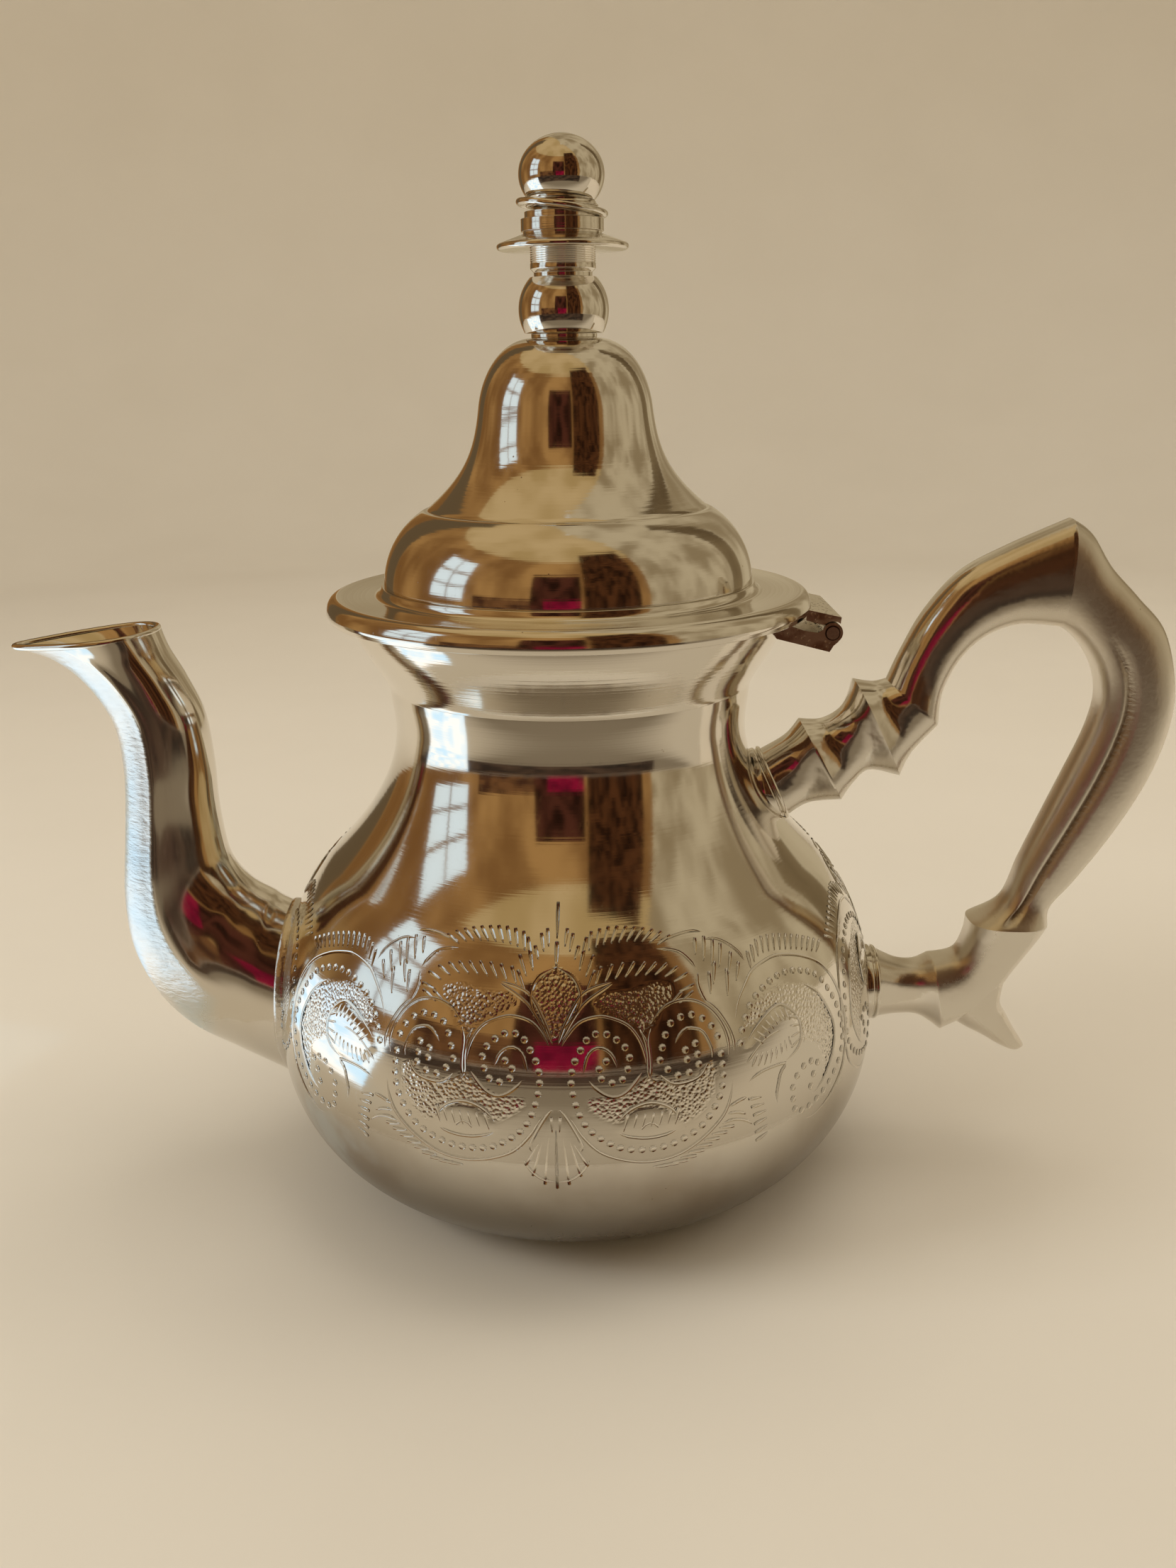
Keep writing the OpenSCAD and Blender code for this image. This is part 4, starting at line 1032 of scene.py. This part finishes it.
# ---- hinge ----
# Two leaves of brass are soldered to collar and brim and turn on a steel pin.
# Their silvered tops are pitted from the solder flux, and the sawn ends are copper brown.
def eased_copy(name, node, width, finish, body):
    """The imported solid's own shape with its edges broken."""
    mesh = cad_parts[node].data.copy()
    mesh.name = name
    work = bmesh.new()
    work.from_mesh(mesh)
    bmesh.ops.remove_doubles(work, verts=work.verts, dist=2e-6)
    bmesh.ops.dissolve_limit(work, angle_limit=math.radians(1), verts=work.verts, edges=work.edges)
    work.to_mesh(mesh)
    work.free()
    mesh.shade_smooth()
    mesh.set_sharp_from_angle(angle=math.radians(30))
    piece = bpy.data.objects.new(name, mesh)
    bpy.context.scene.collection.objects.link(piece)
    edge = piece.modifiers.new("edges", "BEVEL")
    edge.width, edge.segments, edge.limit_method = width * 0.001, 2, "ANGLE"
    edge.angle_limit, edge.harden_normals = math.radians(40), True
    dress(piece, finish)
    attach(piece, body)
    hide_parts(node)


pin_x, pin_z = 0.0535, 0.1217
f = hinge_brass = silvered("hinge_brass", tint=(0.78, 0.75, 0.68), rough=0.2, lines=0.0, dust=1.0)
pit = (1 - f.between(f.cells(1150.0), 0.16, 0.32)) * f.between(f.noise(220, 3), 0.42, 0.58)
bare = f.between(f.axis(1).maths("ABSOLUTE"), 0.0132, 0.0135)
blotch = f.between(f.noise(260, 4), 0.42, 0.62)
copper = f.mixed(blotch, (0.44, 0.30, 0.22), (0.25, 0.13, 0.08))
# On the sawn ends a dark ring round the pin is painted shade in the gap between pin and knuckle.
from_pin = f.length(f.node("ShaderNodeCombineXYZ", None, {0: f.axis(0) - pin_x, 2: f.axis(2) - pin_z}))
pin_gap_shade = f.between(from_pin, 0.00125, 0.0013) * (1 - f.between(from_pin, 0.00145, 0.00165))
worn = f.mixed(pit * (1 - bare), f.colour, (0.13, 0.09, 0.06))
worn = f.mixed(bare, worn, copper)
f.feed(Base_Color=f.mixed(pin_gap_shade * bare, worn, (0.05, 0.03, 0.02)),
    Roughness=f.roughness + bare * 0.2 + pit * 0.3,
    Normal=f.bump(1 - pit, 0.00025, f.bump(f.noise(300, 3), 0.00012)))
eased_copy("hinge_collar_leaf", "hinge_lower_leaf", 0.15, hinge_brass, "pot")
eased_copy("hinge_lid_leaf", "hinge_upper_leaf", 0.15, hinge_brass, "lid")
pin_steel = silvered("pin_steel", tint=(0.58, 0.43, 0.34), rough=0.22, lines=0.00002)
dress(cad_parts["hinge_pin"], pin_steel)


# ---- lid brim ----
# The brim is spun from one disc: a rolled border that hangs over the collar, a
# flat dish, and a little foot turned up round the dome.
brim_outline = chain([(49.9, 125.1)],
    bezier((50.4, 126.2), (50.4, 128.4), (49.2, 129.6), (48, 129.6), 16),
    [(46.6, 129.4), (40.5, 129.4)],
    bezier((40.5, 129.4), (39.3, 129.4), (39, 130.3), (38.8, 131.2), 8), [(34.9, 131.2)])
brim_under = aside(brim_outline, sheet_wall)[::-1]
brim = spun_sheet("lid_brim_spinning", chain(brim_outline, brim_under), 0.18, 320)
brim_silver = silvered("brim_silver", rough=0.085, lines=0.00003, dust=0.9)
dress(brim, brim_silver)
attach(brim, "lid")
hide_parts("lid_brim")


# ---- lid dome ----
# A tall double bell, spun and burnished, with a small ledge between its two
# swells and a flat crown that carries the finial.
dome_outline = chain([(38.3, 131.2)],
    bezier((38.3, 131.5), (38, 137.56), (35, 142.7), (30.3, 145.75), 34),
    bezier((30.3, 145.75), (29.8, 146.1), (29.4, 146.25), (28.8, 146.28), 6),
    bezier((28.6, 146.6), (20.5, 153.39), (18.7, 158.1), (17.6, 166.83), 40),
    bezier((17.6, 166.83), (16.6, 173.55), (12.6, 179.2), (7, 179.6), 30), [(2.05, 179.6)])
dome_under = aside(dome_outline, sheet_wall)[::-1]
dome = spun_sheet("lid_dome_spinning", chain(dome_outline, dome_under), 0.2, 288)
dome_silver = silvered("dome_silver", rough=0.075, lines=0.00002, dust=1.0)
dress(dome, dome_silver)
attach(dome, "lid")
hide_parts("lid_dome")


# ---- locating ring ----
# A plain strip soldered under the brim keeps the lid in the middle of the neck.
# It is seen when the lid is open, dull from steam.
skirt_silver = silvered("skirt_silver", rough=0.25, lines=0.0001, dust=1.0)
dress(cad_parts["lid_skirt"], skirt_silver)


# ---- finial ----
# Seven turned pieces and a spring ring are threaded on a stud and clamped by a
# nut inside the dome. The ring has slumped to one side.
turned_silver = silvered("turned_silver", rough=0.09, lines=0.00006, dust=0.6)
ball_silver = silvered("ball_silver", rough=0.07, lines=0.00001, dust=0.4)
bore_r = 2.05


def turned(name, node, finish, foot_z, outline, cut=0.18, corner=22):
    """One turned piece of the stack, bored for the stud, from radii and heights above its foot."""
    bored = [(bore_r, outline[0][1]), *outline, (bore_r, outline[-1][1])]
    piece = spun_sheet(name, [(r, foot_z + h) for r, h in bored], cut, 128, corner)
    dress(piece, finish)
    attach(piece, "lid")
    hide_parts(node)


turned("finial_foot_ring", "finial_base_ring", turned_silver, 179.6, [(6.6, 0), (6.6, 0.9)])

low_ball_r, low_ball_h = 9, 10.6
below, above = 0.42 * low_ball_h, 0.58 * low_ball_h
ball_arc = [(low_ball_r * math.cos(a), below + low_ball_r * math.sin(a))
    for a in np.linspace(-math.asin(below / low_ball_r), math.asin(above / low_ball_r), 41)]
turned("finial_low_ball", "finial_lower_ball", ball_silver, 180.5, ball_arc)

sleeve_r, thread_pitch, thread_deep = 6.5, 0.42, 0.12
sleeve_side = [(5.8, 0), (5.8, 0.8), (sleeve_r, 1.5), (sleeve_r, 2.4)]
for h in 2.5 + thread_pitch * np.arange(7):
    sleeve_side += [(sleeve_r - thread_deep, h + 0.5 * thread_pitch), (sleeve_r, h + thread_pitch)]
sleeve_side += [(sleeve_r, 5.6)]
turned("finial_threaded_sleeve", "finial_sleeve", turned_silver, 191.1, sleeve_side, 0.1)

turned("finial_dished_disc", "finial_disc", turned_silver, 196.7,
    [(6.7, 0), (12.6, -0.7), (13, -0.3), (13, 0.3), (12.6, 0.6), (8.15, 2.2)], 0.25)

spacer_z, spacer_step = 198.9, 2.9
turned("finial_stepped_spacer", "finial_spacer", turned_silver, spacer_z,
    [(7.75, 0), (7.75, 0.5), (8.15, 0.5), (8.15, spacer_step), (7.4, spacer_step), (7.4, 4.2)], 0.14)

turned("finial_bead", "finial_neck_bead", turned_silver, 203.1,
    [(5.4, 0), (5.8, 0.4), (6.8, 0.7), (7.2, 1), (6.8, 1.4), (6.5, 2)], 0.3, 10)

ball_z, ball_cut, ball_r, ball_half_h = 209.836, 4.736, 8.4, 7.4
ball_arc = [(ball_r * math.sin(a), ball_z - ball_half_h * math.cos(a))
    for a in np.linspace(math.acos(ball_cut / ball_half_h), math.pi, 60)]
ball_arc[-1] = (0, ball_z + ball_half_h)
stud_hole = [(0, ball_z + 2.2), (bore_r, ball_z + 2.2), (bore_r, ball_z - ball_cut)]
top_ball = spun("finial_top_knob", chain(stud_hole, ball_arc), 128, crease=35)
dress(top_ball, ball_silver)
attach(top_ball, "lid")
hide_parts("finial_top_ball")

# The spring ring is one turn of round wire with rounded ends, split at the back.
wire, ring_r, tilt = 0.7, 8.4, math.radians(8)
ring_z = spacer_z + spacer_step + wire + (ring_r + wire) * math.sin(tilt)
opening = 0.7 / ring_r
path = []
for b in np.linspace(math.pi / 2 + opening, math.pi / 2 + 2 * math.pi - opening, 97):
    x, y = ring_r * math.cos(b), ring_r * math.sin(b)
    path.append(np.array([x * math.cos(tilt), y, ring_z - x * math.sin(tilt)]))
width = np.full(97, wire)
width[[0, -1]], width[[1, -2]] = 0.5 * wire, 0.9 * wire
spring_ring = swept("finial_split_ring", [(np.array(path), width)], 16, turned_silver)
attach(spring_ring, "lid")
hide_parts("finial_spring_ring")
for node in ("finial_stud", "finial_nut", "finial_washer"):
    dress(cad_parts[node], pin_steel)
